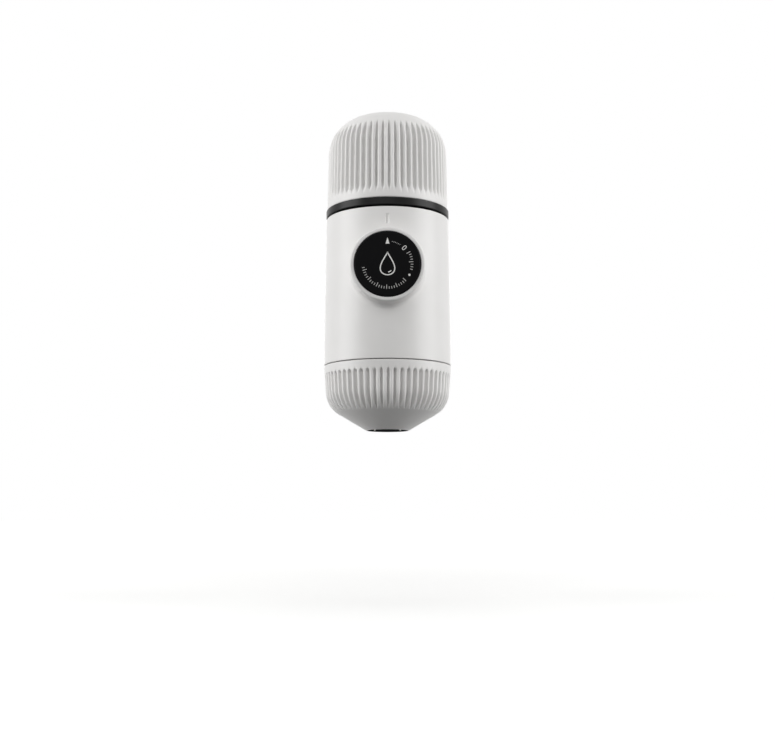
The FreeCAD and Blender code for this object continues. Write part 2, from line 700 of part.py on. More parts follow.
def make_lock_ring():
    """The bayonet ring in the back of the collar, with inward lugs."""
    body = turned_y("lock_ring", ring(
        d["collar_bore_radius"], d["ring_radius"], -d["ring_front"], -d["ring_back"]))
    lug = revolve(body, "lug", "XY_Plane", rectangle(
        d["lug_radius"], -d["ring_front"], d["collar_bore_radius"] + d["fit_gap"],
        -d["ring_back"]), angle=d["lug_angle"])
    lug.Midplane = True
    pattern = body.newObject("PartDesign::PolarPattern", "lugs")
    pattern.Originals = [lug]
    pattern.Axis = (origin_axis(body, "Y_Axis"), [""])
    pattern.Angle = 360
    pattern.setExpression("Occurrences", d["lug_count"].text)
    body.Tip = pattern
    return body


def make_return_spring():
    """The compressed return spring between the cylinder's flange and the knob's web."""
    front = -d["web_back"] + d["spring_wire"]
    back = d["pillar_front"] - d["flange_thickness"] - d["spring_wire"]
    length = back.value - front.value
    wire = d["spring_wire"].value
    sides = int(d["spring_sides"].value)
    steps = int(d["spring_turns"].value) * sides
    path = [
        FreeCAD.Vector(
            d["spring_radius"].value * math.cos(2 * math.pi * i / sides),
            front.value + length * i / steps,
            -d["spring_radius"].value * math.sin(2 * math.pi * i / sides))
        for i in range(steps + 1)
    ]
    half = wire / 2
    centre = path[0]
    section = Part.makePolygon([
        centre + FreeCAD.Vector(x, y, 0)
        for x, y in ((-half, -half), (half, -half), (half, half), (-half, half), (-half, -half))
    ])
    spring = doc.addObject("Part::Feature", "return_spring")
    spring.Label = "return_spring"
    spring.Shape = Part.makePolygon(path).makePipeShell([section], True, True, 1)
    spring.setExpression(".Placement.Base.z", d["knob_z"].text)
    return spring


# ---------------------------------------------------------------------------
# Brewing group
# ---------------------------------------------------------------------------
def make_shower_screen():
    """The shower screen, held up against the step in the neck."""
    low = d["stand_top_z"] + d["basket_flange"] + d["shower_gasket_thickness"]
    return turned_z("shower_screen", ring(
        d["screen_screw_shank"] + d["fit_gap"], d["screen_radius"],
        low, low + d["screen_thickness"]))


def make_screen_screw():
    """The screw in the middle of the shower screen."""
    seat = d["stand_top_z"] + d["basket_flange"] + d["shower_gasket_thickness"]
    tip = d["plug_bottom_z"] + d["screen_screw_depth"] - d["screw_tip_gap"]
    return turned_z("screen_screw", [
        (0, seat - d["screen_screw_head"]),
        (d["screen_screw_radius"], seat - d["screen_screw_head"]),
        (d["screen_screw_radius"], seat),
        (d["screen_screw_shank"], seat),
        (d["screen_screw_shank"], tip),
        (0, tip),
    ])


def make_shower_gasket():
    """The gasket between the screen and the basket's flange."""
    low = d["stand_top_z"] + d["basket_flange"]
    return turned_z("shower_gasket", ring(
        d["shower_gasket_inner_radius"], d["shower_gasket_radius"],
        low, low + d["shower_gasket_thickness"]))


def make_filter_basket():
    """The filter basket: a drawn cup whose flange rests on the funnel's rim."""
    wall = d["basket_wall"]
    inner = d["basket_radius"] - wall
    flange_top = d["stand_top_z"] + d["basket_flange"]
    return turned_z("filter_basket", [
        (0, d["basket_bottom_z"]),
        (d["basket_radius"], d["basket_bottom_z"]),
        (d["basket_radius"], d["stand_top_z"]),
        (d["basket_flange_radius"], d["stand_top_z"]),
        (d["basket_flange_radius"], flange_top),
        (inner, flange_top),
        (inner, d["basket_bottom_z"] + wall),
        (0, d["basket_bottom_z"] + wall),
    ])


def make_head_funnel():
    """The funnel in the head: it carries the basket on its rim and drains to the middle."""
    low = d["outlet_depth"] + d["fit_gap"]
    pocket_top = low + d["nozzle_thickness"]
    slope = (d["head_floor_z"] - d["outlet_depth"]) / (d["head_floor_radius"] - d["head_step_radius"])
    foot_z = low + slope * (d["stand_radius"] - d["head_step_radius"])
    return turned_z("head_funnel", [
        (d["funnel_hole_radius"], pocket_top),
        (d["funnel_hub_radius"], pocket_top),
        (d["funnel_hub_radius"], low),
        (d["head_step_radius"], low),
        (d["stand_radius"], foot_z),
        (d["stand_radius"], d["stand_top_z"]),
        (d["stand_inner_radius"], d["stand_top_z"]),
        (d["stand_inner_radius"], foot_z + d["funnel_wall"] / 2),
        (d["funnel_foot_radius"], d["funnel_floor_z"]),
        (d["funnel_hole_radius"], d["funnel_floor_z"]),
    ])


def make_outlet_nozzle():
    """The nozzle: a disc with a pocket for its valve, and a skirt that lines the outlet."""
    low = d["outlet_depth"] + d["fit_gap"]
    top = low + d["nozzle_thickness"]
    middle = low + d["nozzle_thickness"] / 2
    return turned_z("outlet_nozzle", [
        (d["nozzle_bore_radius"], low),
        (d["outlet_radius"], low),
        (d["outlet_radius"], 0),
        (d["outlet_radius"] + d["nozzle_skirt"], 0),
        (d["outlet_radius"] + d["nozzle_skirt"], middle),
        (d["nozzle_stem_radius"], middle),
        (d["nozzle_stem_radius"], top),
        (d["nozzle_valve_radius"] + d["fit_gap"], top),
        (d["nozzle_valve_radius"] + d["fit_gap"], middle),
        (d["nozzle_bore_radius"], middle),
    ])


def make_nozzle_seal():
    """The seal between the nozzle and the funnel."""
    low = d["outlet_depth"] + d["fit_gap"] + d["nozzle_thickness"] / 2
    return turned_z("nozzle_seal", ring(
        d["nozzle_stem_radius"] + d["fit_gap"], d["nozzle_seal_radius"],
        low, low + d["nozzle_thickness"] / 2))


def make_nozzle_valve():
    """The slit silicone disc that holds the pressure back until it is high enough."""
    low = d["outlet_depth"] + d["fit_gap"] + d["nozzle_thickness"] / 2
    body = new_body("nozzle_valve")
    sketch = new_sketch(body, "disc", "XY_Plane", low)
    draw_circle(sketch, 0, 0, d["nozzle_valve_radius"])
    extrude(sketch, "PartDesign::Pad", d["nozzle_thickness"] / 2)
    return body


def make_tank_gasket():
    """The gasket that the tank's neck presses on the socket's floor."""
    return turned_z("tank_gasket", ring(
        d["gasket_inner_radius"], d["gasket_radius"],
        d["socket_floor_z"], d["socket_floor_z"] + d["gasket_thickness"]))


PIECES = [
    make_drinking_cup, make_water_tank, make_tank_gasket, make_main_shell,
    make_pump_chassis, make_inlet_strainer, make_inlet_valve, make_outlet_valve,
    make_pump_cylinder, make_cylinder_seal, make_cylinder_gland, make_lock_ring,
    make_return_spring, make_piston_rod, make_piston_seal, make_knob_screw,
    make_knob_sleeve, make_knob_cap, make_shower_screen, make_screen_screw,
    make_shower_gasket, make_filter_basket, make_outlet_head, make_head_funnel,
    make_outlet_nozzle, make_nozzle_seal, make_nozzle_valve,
]
nodes = [make_piece() for make_piece in PIECES]
doc.recompute()

# ---------------------------------------------------------------------------
# Checks, then one STEP file for each piece
# ---------------------------------------------------------------------------
for item in doc.Objects:
    if "Invalid" in item.State or "Error" in item.State:
        raise RuntimeError(f"{item.Label} failed: {item.State}")
for node in nodes:
    if node.Shape.isNull() or not node.Shape.isValid() or not node.Shape.Solids:
        raise RuntimeError(f"{node.Label} has no valid solid")

os.makedirs("parts", exist_ok=True)
for node in nodes:
    node.Shape.exportStep(os.path.join("parts", node.Label + ".step"))
    print(f"{node.Label}: {node.Shape.Volume / 1000:.3f} cm3, {len(node.Shape.Faces)} faces")
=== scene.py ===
"""Finished surfaces of a handheld espresso maker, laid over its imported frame.

The fluted shells, the dial, the threads and the small metal parts are worked out as surfaces, in metres
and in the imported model's own frame: +Z runs up the body's axis and the pump knob faces -Y.
"""
import json
import math

import bmesh
import bpy
import numpy as np
from bpy.props import FloatProperty, FloatVectorProperty, IntProperty, PointerProperty
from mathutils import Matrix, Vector, geometry


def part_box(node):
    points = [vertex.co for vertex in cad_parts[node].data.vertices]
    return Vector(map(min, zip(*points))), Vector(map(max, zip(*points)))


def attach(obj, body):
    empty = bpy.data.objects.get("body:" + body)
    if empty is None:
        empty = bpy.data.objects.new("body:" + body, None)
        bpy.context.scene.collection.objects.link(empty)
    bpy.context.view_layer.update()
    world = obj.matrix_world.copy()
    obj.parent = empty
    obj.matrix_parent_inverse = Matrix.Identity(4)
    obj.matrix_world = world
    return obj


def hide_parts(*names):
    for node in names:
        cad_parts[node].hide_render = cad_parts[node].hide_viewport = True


bl_info = {
    "name": "Handheld Espresso Maker",
    "version": (1, 0, 0),
    "blender": (4, 5, 0),
    "location": "View3D > Sidebar > Espresso",
    "description": "Builds the finished surfaces of a handheld espresso maker over its packed frame",
    "category": "Add Mesh",
}

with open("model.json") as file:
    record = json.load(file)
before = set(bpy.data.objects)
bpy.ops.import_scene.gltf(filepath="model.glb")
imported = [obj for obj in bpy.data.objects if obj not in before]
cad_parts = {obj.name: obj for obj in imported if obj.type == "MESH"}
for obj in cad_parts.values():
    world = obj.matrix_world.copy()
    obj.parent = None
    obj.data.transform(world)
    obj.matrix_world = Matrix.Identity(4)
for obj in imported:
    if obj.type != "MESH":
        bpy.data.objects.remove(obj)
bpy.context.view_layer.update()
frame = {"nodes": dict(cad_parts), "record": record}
MM = 0.001
KNOB_Z = sum(corner.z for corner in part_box("knob_cap")) / 2
DIAL_FACE_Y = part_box("knob_cap")[0].y

# Points that lie this close are one point, and a step shorter than the next length has no direction
WELD = 1e-6
NO_LENGTH = 1e-12
# Faces that meet at more than this angle have a sharp edge
SHARP = math.radians(32)
# A rounding that would take up a whole edge is made this much smaller
NEARLY = 0.999
# Points round a fluted shell, round the thin metal parts, round one of their holes and round a middle hole
FLUTED_COLUMNS = 720
SHEET_COLUMNS = 144
HOLE_COLUMNS = 10
MIDDLE_HOLE_COLUMNS = 32
# Steps of a thread in one turn, and its section: height over the wall and place across, as shares of its
# height and its half width
THREAD_STEPS = 120
THREAD_SECTION = np.array((
    (-0.15, -1.0), (0.0, -1.0), (0.45, -0.8), (0.85, -0.55), (1.0, -0.3),
    (1.0, 0.3), (0.85, 0.55), (0.45, 0.8), (0.0, 1.0), (-0.15, 1.0)))
# The floor lies below the hanging maker; its glow grows from near to far over the reach
FLOOR_HEIGHT = -83 * MM
FLOOR_RADIUS = 6.0
GLOW_REACH, GLOW_NEAR, GLOW_FAR = 1.4, 0.12, 0.9
# The sky's strength as it lights the maker and as it is seen
SKY_LIGHT, SKY_SEEN = 0.30, 1.0
# The lamps: name, place, width, height and watts, and the point that they face
LAMPS = (
    ("lamp_left", (-0.87, -0.25, 0.29), 0.65, 0.85, 7.5),
    ("lamp_right", (0.87, -0.25, 0.29), 0.65, 0.85, 7.5),
    ("lamp_top", (0, -0.15, 1.05), 0.9, 0.7, 0.7),
    ("lamp_front", (-0.15, -1.1, 0.55), 0.8, 0.6, 1.2),
    ("lamp_back", (0, 1.1, 0.1), 0.8, 0.6, 2.0),
)
LAMP_AIM = (0, 0, 80 * MM)
# The camera looks along +Y and a little upwards; its focal length is given in pixels of a render 775 wide
CAMERA_PLACE = (0, -561.05 * MM, -39.82 * MM)
CAMERA_PITCH = 0.1271
FOCAL_PIXELS, RENDER_PIXELS = 1157.19, 775
SENSOR_WIDTH = 36


# ---- Sizes and colours that a user may change ----
def length(name, millimetres, description):
    """A length, stored in metres."""
    return FloatProperty(name=name, description=description, default=millimetres * MM,
                         min=0.0, precision=5, subtype="DISTANCE", unit="LENGTH")


def turn(name, degrees, description):
    """An angle, stored in radians."""
    return FloatProperty(name=name, description=description, default=math.radians(degrees),
                         precision=3, subtype="ANGLE", unit="ROTATION")


def power(name, value, description):
    """An exponent."""
    return FloatProperty(name=name, description=description, default=value, min=0.3, max=3.0)


def linear(code):
    """An sRGB hex colour as linear light: ((c + 0.055) / 1.055) ** 2.4 above the dark toe."""
    channels = np.array([int(code[i:i + 2], 16) for i in (1, 3, 5)]) / 255
    return np.where(channels <= 0.04045, channels / 12.92, ((channels + 0.055) / 1.055) ** 2.4)


def colour(name, code, description):
    """A colour, written as sRGB hex and stored linear."""
    return FloatVectorProperty(name=name, description=description, default=tuple(linear(code)),
                               size=3, min=0.0, max=1.0, subtype="COLOR")


class FluteSizes(bpy.types.PropertyGroup):
    """The flutes that run round the cup and the head."""

    count: IntProperty(name="Flutes", description="Flutes round the full circle", default=60, min=12, max=90)
    cup_depth: length("Depth on the cup", 1.6, "Depth of a flute of the cup at the middle of its length")
    cup_ridge: power("Ridge on the cup", 1.3, "Power that broadens the cup's ridges as it grows")
    cup_turn: turn("Turn on the cup", 1.5, "How far the cup's flutes are turned from the +X axis")
    cup_low: length("Foot on the cup", 112.5, "Height at which the cup's flutes start")
    cup_low_run: length("Run-out at the cup's foot", 2.8, "Height over which they reach their full depth")
    cup_high: length("Top on the cup", 147.3, "Height at which the cup's flutes end")
    cup_high_run: length("Run-out at the cup's top", 5.5, "Height over which they fade again")
    head_depth: length("Depth on the head", 1.7, "Depth of a flute of the head at the middle of its length")
    head_ridge: power("Ridge on the head", 1.55, "Power that broadens the head's ridges as it grows")
    head_turn: turn("Turn on the head", 0.6, "How far the head's flutes are turned from the +X axis")
    head_low: length("Foot on the head", 8.6, "Height at which the head's flutes start")
    head_low_run: length("Run-out at the head's foot", 5.0, "Height over which they reach their full depth")
    head_high: length("Top on the head", 27.2, "Height at which the head's flutes end")
    head_high_run: length("Run-out at the head's top", 1.9, "Height over which they fade again")


class ShellSizes(bpy.types.PropertyGroup):
    """The white shells: cup, pump shell and brewing head."""

    wall: length("Wall", 2.0, "Thickness of the moulded walls")
    edge: length("Edge rounding", 0.35, "Rounding of the shells' rims")
    cup_side_radius: length("Cup radius at the shoulder", 29.4, "Radius where the cup's side ends")
    cup_side_top: length("Cup shoulder height", 137.0, "Height where the cup's side ends")
    cup_shoulder: length("Cup shoulder rounding", 18.9, "Radius of the arc over the shoulder")
    cup_knee_radius: length("Crown start radius", 15.107, "Radius where the crown's arc starts")
    cup_knee_height: length("Crown start height", 154.945, "Height where the crown's arc starts")
    cup_crown: length("Crown arc", 35.0, "Radius of the crown's arc")
    cup_flat: length("Crown flat", 6.6, "Radius of the flat on top")
    cup_roof: length("Cup roof", 2.9, "Thickness of the cup at the top")
    cup_bend_radius: length("Cup bend radius", 23.75, "Radius of the bend inside the cup")
    cup_bend_height: length("Cup bend height", 147.2, "Height of the bend inside the cup")
    shell_top_radius: length("Shell radius at the top", 30.2, "Outer radius at the upper rim")
    shell_lip_radius: length("Shell foot bore", 27.5, "Bore radius of the shell's foot")
    shell_lip_height: length("Shell foot height", 2.0, "Height of the inward foot")
    collar_radius: length("Collar radius", 17.5, "Outer radius of the raised collar round the knob")
    collar_bore: length("Collar bore", 15.55, "Bore radius of the collar")
    collar_blend: length("Collar blend", 2.4, "Radius of the hollow between collar and tube")
    collar_lip: length("Collar lip", 1.0, "Rounding of the collar's front edge")
    collar_back: length("Collar depth", 21.8, "Distance of the collar's back from the body's axis")
    ring_seat: length("Ring seat", 16.9, "Radius of the bayonet ring's seat")
    ring_seat_front: length("Ring seat front", 26.0, "Distance of the seat's step from the body's axis")
    tick_low: length("Tick foot", 95.1, "Height of the index mark's lower end")
    tick_high: length("Tick top", 100.3, "Height of the index mark's upper end")
    tick_width: length("Tick width", 2.1, "Width of the index mark")
    tick_depth: length("Tick depth", 0.55, "Depth of the index mark")
    head_side_radius: length("Head radius at the corner", 30.15, "Radius where the head's side ends")
    head_side_height: length("Head corner height", 18.3, "Height where the head's side ends")
    head_corner: length("Head corner", 13.0, "Radius of the arc between side and cone")
    head_cone_radius: length("Cone radius", 23.754, "Radius where the cone starts")
    head_cone_height: length("Cone height", 7.903, "Height where the cone starts")
    head_bore: length("Head bore", 27.5, "Bore radius inside the head")
    head_shelf: length("Head shelf", 17.5, "Height where the head's bore ends")
    head_bend_radius: length("Head bend radius", 24.2, "Radius of the bend inside the head")
    head_bend_height: length("Head bend height", 10.5, "Height of the bend inside the head")
    outlet_lip: length("Outlet ring", 10.4, "Outer radius of the flat outlet ring")
    outlet_bore: length("Outlet bore", 9.95, "Bore radius of the outlet")
    outlet_depth: length("Outlet depth", 3.0, "Length of the outlet's bore")
    outlet_seat: length("Outlet seat", 11.5, "Radius of the nozzle's seat over the outlet")


class WorkSizes(bpy.types.PropertyGroup):
    """The tank, the threads, the dial's print and the small metal parts."""

    tank_radius: length("Tank radius", 26.6, "Outer radius of the tank over its ring")
    tank_bore: length("Tank bore", 24.8, "Inner radius of the tank")
    tank_roof: length("Tank roof", 144.6, "Height under the tank's roof")
    tank_shoulder: length("Tank shoulder", 138.0, "Height where the tank starts to draw in")
    tank_ring_top: length("Tank ring top", 108.3, "Height of the tank's ring at its top")
    tank_ring_foot: length("Tank ring foot", 104.7, "Height of the tank's ring at its foot")
    tank_neck: length("Tank neck", 24.9, "Outer radius of the threaded neck")
    tank_neck_bore: length("Tank neck bore", 23.5, "Bore radius of the neck")
    head_lead: length("Head thread lead", 5.25, "Rise of the brewing head's thread in one turn")
    tank_lead: length("Tank thread lead", 3.5, "Rise of the tank's thread in one turn")
    thread_height: length("Thread height", 0.7, "Height of a thread over its wall")
    thread_width: length("Thread width", 1.3, "Width of a thread at its foot")
    ink: length("Ink thickness", 0.03, "Thickness of the printed marks")
    basket_radius: length("Basket radius", 20.8, "Outer radius of the filter basket's side")
    basket_floor: length("Basket floor", 18.9, "Radius of the perforated floor")
    basket_rim: length("Basket rim", 26.2, "Height under the basket's rim")
    basket_sheet: length("Basket sheet", 0.6, "Thickness of the basket's steel")
    basket_hole: length("Basket hole", 0.36, "Radius of a hole in the filter basket")
    basket_pitch: length("Basket pitch", 1.45, "Distance between the basket's holes")
    screen_bore: length("Screen bore", 1.6, "Radius of the screw's hole in the shower screen")
    screen_hole: length("Screen hole", 0.62, "Radius of a hole in the shower screen")
    screen_pitch: length("Screen pitch", 2.5, "Distance between the screen's holes")
    strainer_hole: length("Strainer hole", 0.25, "Radius of an opening in the inlet strainer")
    strainer_pitch: length("Strainer pitch", 0.78, "Distance between the strainer's openings")
    nozzle_bore: length("Nozzle bore", 9.5, "Bore radius of the nozzle")
    nozzle_ceiling: length("Nozzle ceiling", 3.1, "Height over the nozzle's bore")
    nozzle_roof: length("Nozzle roof", 3.85, "Height of the nozzle's upper face")
    wire: length("Spring wire", 1.3, "Diameter of the return spring's wire")
    coil: length("Spring coil", 10.9, "Radius of the return spring's centre line")
    coils: IntProperty(name="Spring coils", description="Working coils of the spring",
                       default=6, min=3, max=12)


class Colours(bpy.types.PropertyGroup):
    """The finishes' colours."""

    abs_white: colour("White shell", "#E8E7E6", "Moulded shells")
    abs_white_shade: colour("White shell, deeper", "#E2E1DF", "The shells' faint mottling")
    tank_smoke: colour("Smoked tank", "#080807", "Tank and its ring")
    tank_smoke_thin: colour("Smoked tank, thin", "#0D0D0C", "The tank's faint flow marks")
    dial_black: colour("Dial", "#080809", "Knob's dial")
    nylon_black: colour("Black nylon", "#1A1B1D", "Inner mouldings")
    nylon_fibre: colour("Glass fibre", "#2B2C2F", "Fibres that show at the nylon's skin")
    acetal: colour("Acetal", "#DEDCD4", "Pump's cylinder and rod")
    steel: colour("Stainless steel", "#BDBCB8", "Basket, screens, screws and spring")
    steel_dark: colour("Stainless steel, deeper", "#B2B1AD", "Tool marks in the steel")
    silicone: colour("Silicone", "#3A3B3D", "Gaskets and valves")
    ink_silver: colour("Silver ink", "#EDEDEA", "Pointer, zero, dots and drop")
    ink_grey: colour("Grey ink", "#B4B4B1", "The dial's scale")
    floor: colour("Floor", "#F6F6F5", "Pale studio floor as it is seen")
    floor_bounce: colour("Floor, unseen", "#6A6A6A", "The floor as it lights the maker")


class EspressoSettings(bpy.types.PropertyGroup):
    """Everything that the espresso maker is built from."""

    flutes: PointerProperty(type=FluteSizes)
    shells: PointerProperty(type=ShellSizes)
    works: PointerProperty(type=WorkSizes)
    colours: PointerProperty(type=Colours)


def settings():
    """This scene's sizes and colours."""
    return bpy.context.scene.espresso


# ---- Outlines and surfaces ----
def smooth_step(value, low, high):
    """0 below low, 1 above high and 3t^2 - 2t^3 between them."""
    t = np.clip((value - low) / (high - low), 0, 1)
    return t * t * (3 - 2 * t)


def round_turn(count):
    """Angles evenly round a full turn."""
    return np.arange(count) * 2 * math.pi / count


def swing(start, end, sweep, t):
    """From start to end about the origin: (sin((1 - t) sweep) start + sin(t sweep) end) / sin(sweep)."""
    return (np.sin((1 - t) * sweep) * start + np.sin(t * sweep) * end) / np.sin(sweep)


def rounded(*corners):
    """An outline through (radius, height) corners; a third number rounds a corner.

    The rounding's circle touches both edges: it leaves them at rounding / tan(half the corner's angle), and
    its points turn evenly from one to the other about its centre on the bisector.
    """
    points = []
    for index, corner in enumerate(corners):
        here = np.array(corner[:2], float)
        if len(corner) < 3 or index in (0, len(corners) - 1):
            points.append(here[None])
            continue
        before = np.array(corners[index - 1][:2]) - here
        after = np.array(corners[index + 1][:2]) - here
        before, after = before / np.linalg.norm(before), after / np.linalg.norm(after)
        half = math.acos(np.clip(before @ after, -1, 1)) / 2
        bisector = (before + after) / np.linalg.norm(before + after)
        centre = here + bisector * corner[2] / math.sin(half)
        start = here + before * corner[2] / math.tan(half) - centre
        end = here + after * corner[2] / math.tan(half) - centre
        sweep = math.pi - 2 * half
        t = np.linspace(0, 1, max(4, math.ceil(sweep / math.radians(12))) + 1)[:, None]
        points.append(centre + swing(start, end, sweep, t))
    return np.concatenate(points)


def arc(start, end, radius, step):
    """Points of the arc of this radius from start to end, its centre to the left of the way between them.

    The centre lies on the chord's middle line, sqrt(radius^2 - (chord / 2)^2) from the chord.
    """
    start, end = np.array(start), np.array(end)
    chord = end - start
    span = np.linalg.norm(chord)
    left = np.array((-chord[1], chord[0])) / span
    centre = (start + end) / 2 + left * math.sqrt(radius ** 2 - span ** 2 / 4)
    sweep = 2 * math.asin(span / 2 / radius)
    t = np.linspace(0, 1, math.ceil(sweep * radius / step) + 1)[:, None]
    return centre + swing(start - centre, end - centre, sweep, t)


def spaced(outline, step):
    """The outline with each edge cut into equal parts no longer than step."""
    parts = [np.linspace(a, b, max(1, math.ceil(np.linalg.norm(b - a) / step)), endpoint=False)
             for a, b in zip(outline[:-1], outline[1:])]
    return np.concatenate(parts + [outline[-1:]])


def surface(points, close_rows=False, close_columns=False):
    """A grid of points, rows by columns by 3, as a patch.

    Each face joins a point with the next one along its row and its column.
    """
    rows, columns = points.shape[:2]
    r, c = np.meshgrid(np.arange(rows - (not close_rows)), np.arange(columns - (not close_columns)),
                       indexing="ij")
    next_r, next_c = (r + 1) % rows, (c + 1) % columns
    corners = (r * columns + c, r * columns + next_c, next_r * columns + next_c, next_r * columns + c)
    return points.reshape(-1, 3), np.stack(corners, -1).reshape(-1, 4)


def polar(radius, angle, height):
    """Points (r cos a, r sin a, z) of arrays that spread over one another."""
    radius, angle, height = np.broadcast_arrays(radius, angle, height)
    return np.stack((radius * np.cos(angle), radius * np.sin(angle), height), -1)


def turned(outline, columns=192, cut=None, angles=None):
    """Turn an outline about Z: x = r cos a, y = r sin a, z = height.

    cut(angle, height) is how far a point sinks along the outline's normal (dz, -dr).
    """
    closed = angles is None
    angle = round_turn(columns) if closed else angles
    radius, height = outline[:, :1], outline[:, 1:]
    if cut is not None:
        along = np.gradient(outline, axis=0)
        along = along / np.maximum(np.linalg.norm(along, axis=1, keepdims=True), NO_LENGTH)
        depth = cut(angle, height)
        radius, height = radius - along[:, 1:] * depth, height + along[:, :1] * depth
    return surface(polar(radius, angle, height), close_columns=closed)


def on_pump_axis(patch):
    """A patch turned about Z, laid over so that its height runs out along the pump: (x, -z, knob + y)."""
    points, faces = patch
    return np.stack((points[:, 0], -points[:, 2], KNOB_Z + points[:, 1]), -1), faces


def piece(name, patches, material, body):
    """Join patches into one mesh, weld their borders, turn the faces outwards and let the piece ride."""
    starts = np.cumsum([0] + [len(points) for points, _ in patches])
    points = np.concatenate([points for points, _ in patches])
    faces = [face + start for (_, face), start in zip(patches, starts)]
    sizes = np.concatenate([np.full(len(face), face.shape[1]) for face in faces])
    corners = np.concatenate([face.ravel() for face in faces])
    mesh = bpy.data.meshes.new(name)
    mesh.vertices.add(len(points))
    mesh.vertices.foreach_set("co", points.astype(np.float32).ravel())
    mesh.loops.add(len(corners))
    mesh.loops.foreach_set("vertex_index", corners.astype(np.int32))
    mesh.polygons.add(len(sizes))
    mesh.polygons.foreach_set("loop_start", (np.cumsum(sizes) - sizes).astype(np.int32))
    mesh.update(calc_edges=True)
    work = bmesh.new()
    work.from_mesh(mesh)
    bmesh.ops.remove_doubles(work, verts=work.verts, dist=WELD)
    bmesh.ops.recalc_face_normals(work, faces=work.faces)
    work.to_mesh(mesh)
    work.free()
    mesh.shade_smooth()
    mesh.set_sharp_from_angle(angle=SHARP)
    mesh.materials.append(material)
    thing = bpy.data.objects.new(name, mesh)
    bpy.context.scene.collection.objects.link(thing)
    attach(thing, body)
    return thing


# ---- Materials ----
def add_node(tree, kind, inputs=None, **attributes):
    """Add a shader node; inputs maps its sockets to values or to other nodes' outputs."""
    node = tree.nodes.new(kind)
    for name, value in attributes.items():
        setattr(node, name, value)
    for socket, value in (inputs or {}).items():
        if isinstance(value, bpy.types.NodeSocket):
            tree.links.new(value, node.inputs[socket])
        else:
            node.inputs[socket].default_value = value
    return node


def fresh_tree(owner):
    """The emptied node tree of a material or a world."""
    owner.use_nodes = True
    owner.node_tree.nodes.clear()
    return owner.node_tree


def finish(name, build, **fixed):
    """The material of this name, made once: fixed are the shader's own values, build adds the patterns.

    build may give back a height pattern of 0 to 1, the millimetres that it stands high and its strength.
    """
    material = bpy.data.materials.get(name)
    if material is None:
        material = bpy.data.materials.new(name)
        tree = fresh_tree(material)
        shader = add_node(tree, "ShaderNodeBsdfPrincipled",
                          {key.replace("_", " "): value for key, value in fixed.items()})
        add_node(tree, "ShaderNodeOutputMaterial", {"Surface": shader.outputs["BSDF"]})
        relief = build(tree, shader, add_node(tree, "ShaderNodeTexCoord").outputs["Object"])
        if relief:
            height, distance, strength = relief
            bump = add_node(tree, "ShaderNodeBump", {
                "Height": height, "Distance": distance * MM, "Strength": strength})
            tree.links.new(bump.outputs["Normal"], shader.inputs["Normal"])
    return material


def rgba(rgb):
    """A colour with full alpha."""
    return (*rgb, 1.0)


def mottle(tree, shader, place, cell, low, high, socket="Base Color", detail=2.0):
    """Drive a socket from low to high by noise whose cells are this many millimetres across."""
    noise = add_node(tree, "ShaderNodeTexNoise", {
        "Vector": place, "Scale": 1 / (cell * MM), "Detail": detail})
    if socket == "Base Color":
        mix = add_node(tree, "ShaderNodeMix", {"Factor": noise.outputs["Fac"], 6: rgba(low), 7: rgba(high)},
                       data_type="RGBA")
        tree.links.new(mix.outputs[2], shader.inputs[socket])
    else:
        spread = add_node(tree, "ShaderNodeMapRange", {
            "Value": noise.outputs["Fac"], "From Min": 0.3, "From Max": 0.7, "To Min": low, "To Max": high})
        tree.links.new(spread.outputs["Result"], shader.inputs[socket])


def marks_apart(spacing):
    """The wave texture's scale for marks this many millimetres apart: its phase grows by 20 in a unit."""
    return 2 * math.pi / (20 * spacing * MM)


def skin(name, cell, low, high, detail=2.0, rough=None, grain=None, **fixed):
    """A finish with a mottled colour and, where they are given, an uneven roughness and a grain.

    rough holds the cell, the lowest and the highest roughness, and grain the cell, the noise's detail, the
    height and the strength of the bump. Cells and height are in millimetres.
    """
    def build(tree, shader, place):
        mottle(tree, shader, place, cell, low, high, detail=detail)
        if rough:
            mottle(tree, shader, place, *rough, "Roughness")
        if not grain:
            return None
        size, fine, height, strength = grain
        noise = add_node(tree, "ShaderNodeTexNoise", {
            "Vector": place, "Scale": 1 / (size * MM), "Detail": fine})
        return noise.outputs["Fac"], height, strength
    return finish(name, build, **fixed)


def moulded_abs():
    """White ABS from a spark-eroded mould: satin, near neutral, with a grain that just breaks the highlight.

    The real grain is about 0.1 mm; it is drawn at 0.4 mm so that it shows.
    """
    colours = settings().colours
    return skin("ABS white, spark-eroded satin", 14, colours.abs_white_shade, colours.abs_white,
                rough=(9, 0.33, 0.39), grain=(0.4, 3.0, 0.012, 0.5), IOR=1.53, Specular_IOR_Level=0.3)


def smoked_copolyester():
    """Smoked copolyester from a finely blasted tool: near black in its thickness, with a soft wide sheen."""
    colours = settings().colours
    return skin("Copolyester smoked, fine matt", 22, colours.tank_smoke, colours.tank_smoke_thin,
                rough=(6, 0.27, 0.33), grain=(3.0, 1.0, 0.01, 0.4), IOR=1.57, Specular_IOR_Level=0.13)


def black_dial():
    """Black ABS with a fine matt skin, which keeps the printed marks readable: a faint even sheen.

    The skin's grain is drawn at 0.3 mm, about twice its real size.
    """
    dark = np.array(settings().colours.dial_black)
    return skin("ABS black, matt dial", 0.5, dark * 0.7, dark * 1.6, detail=4.0,
                grain=(0.3, 2.0, 0.012, 0.6), Roughness=0.46, IOR=1.53, Specular_IOR_Level=0.04)


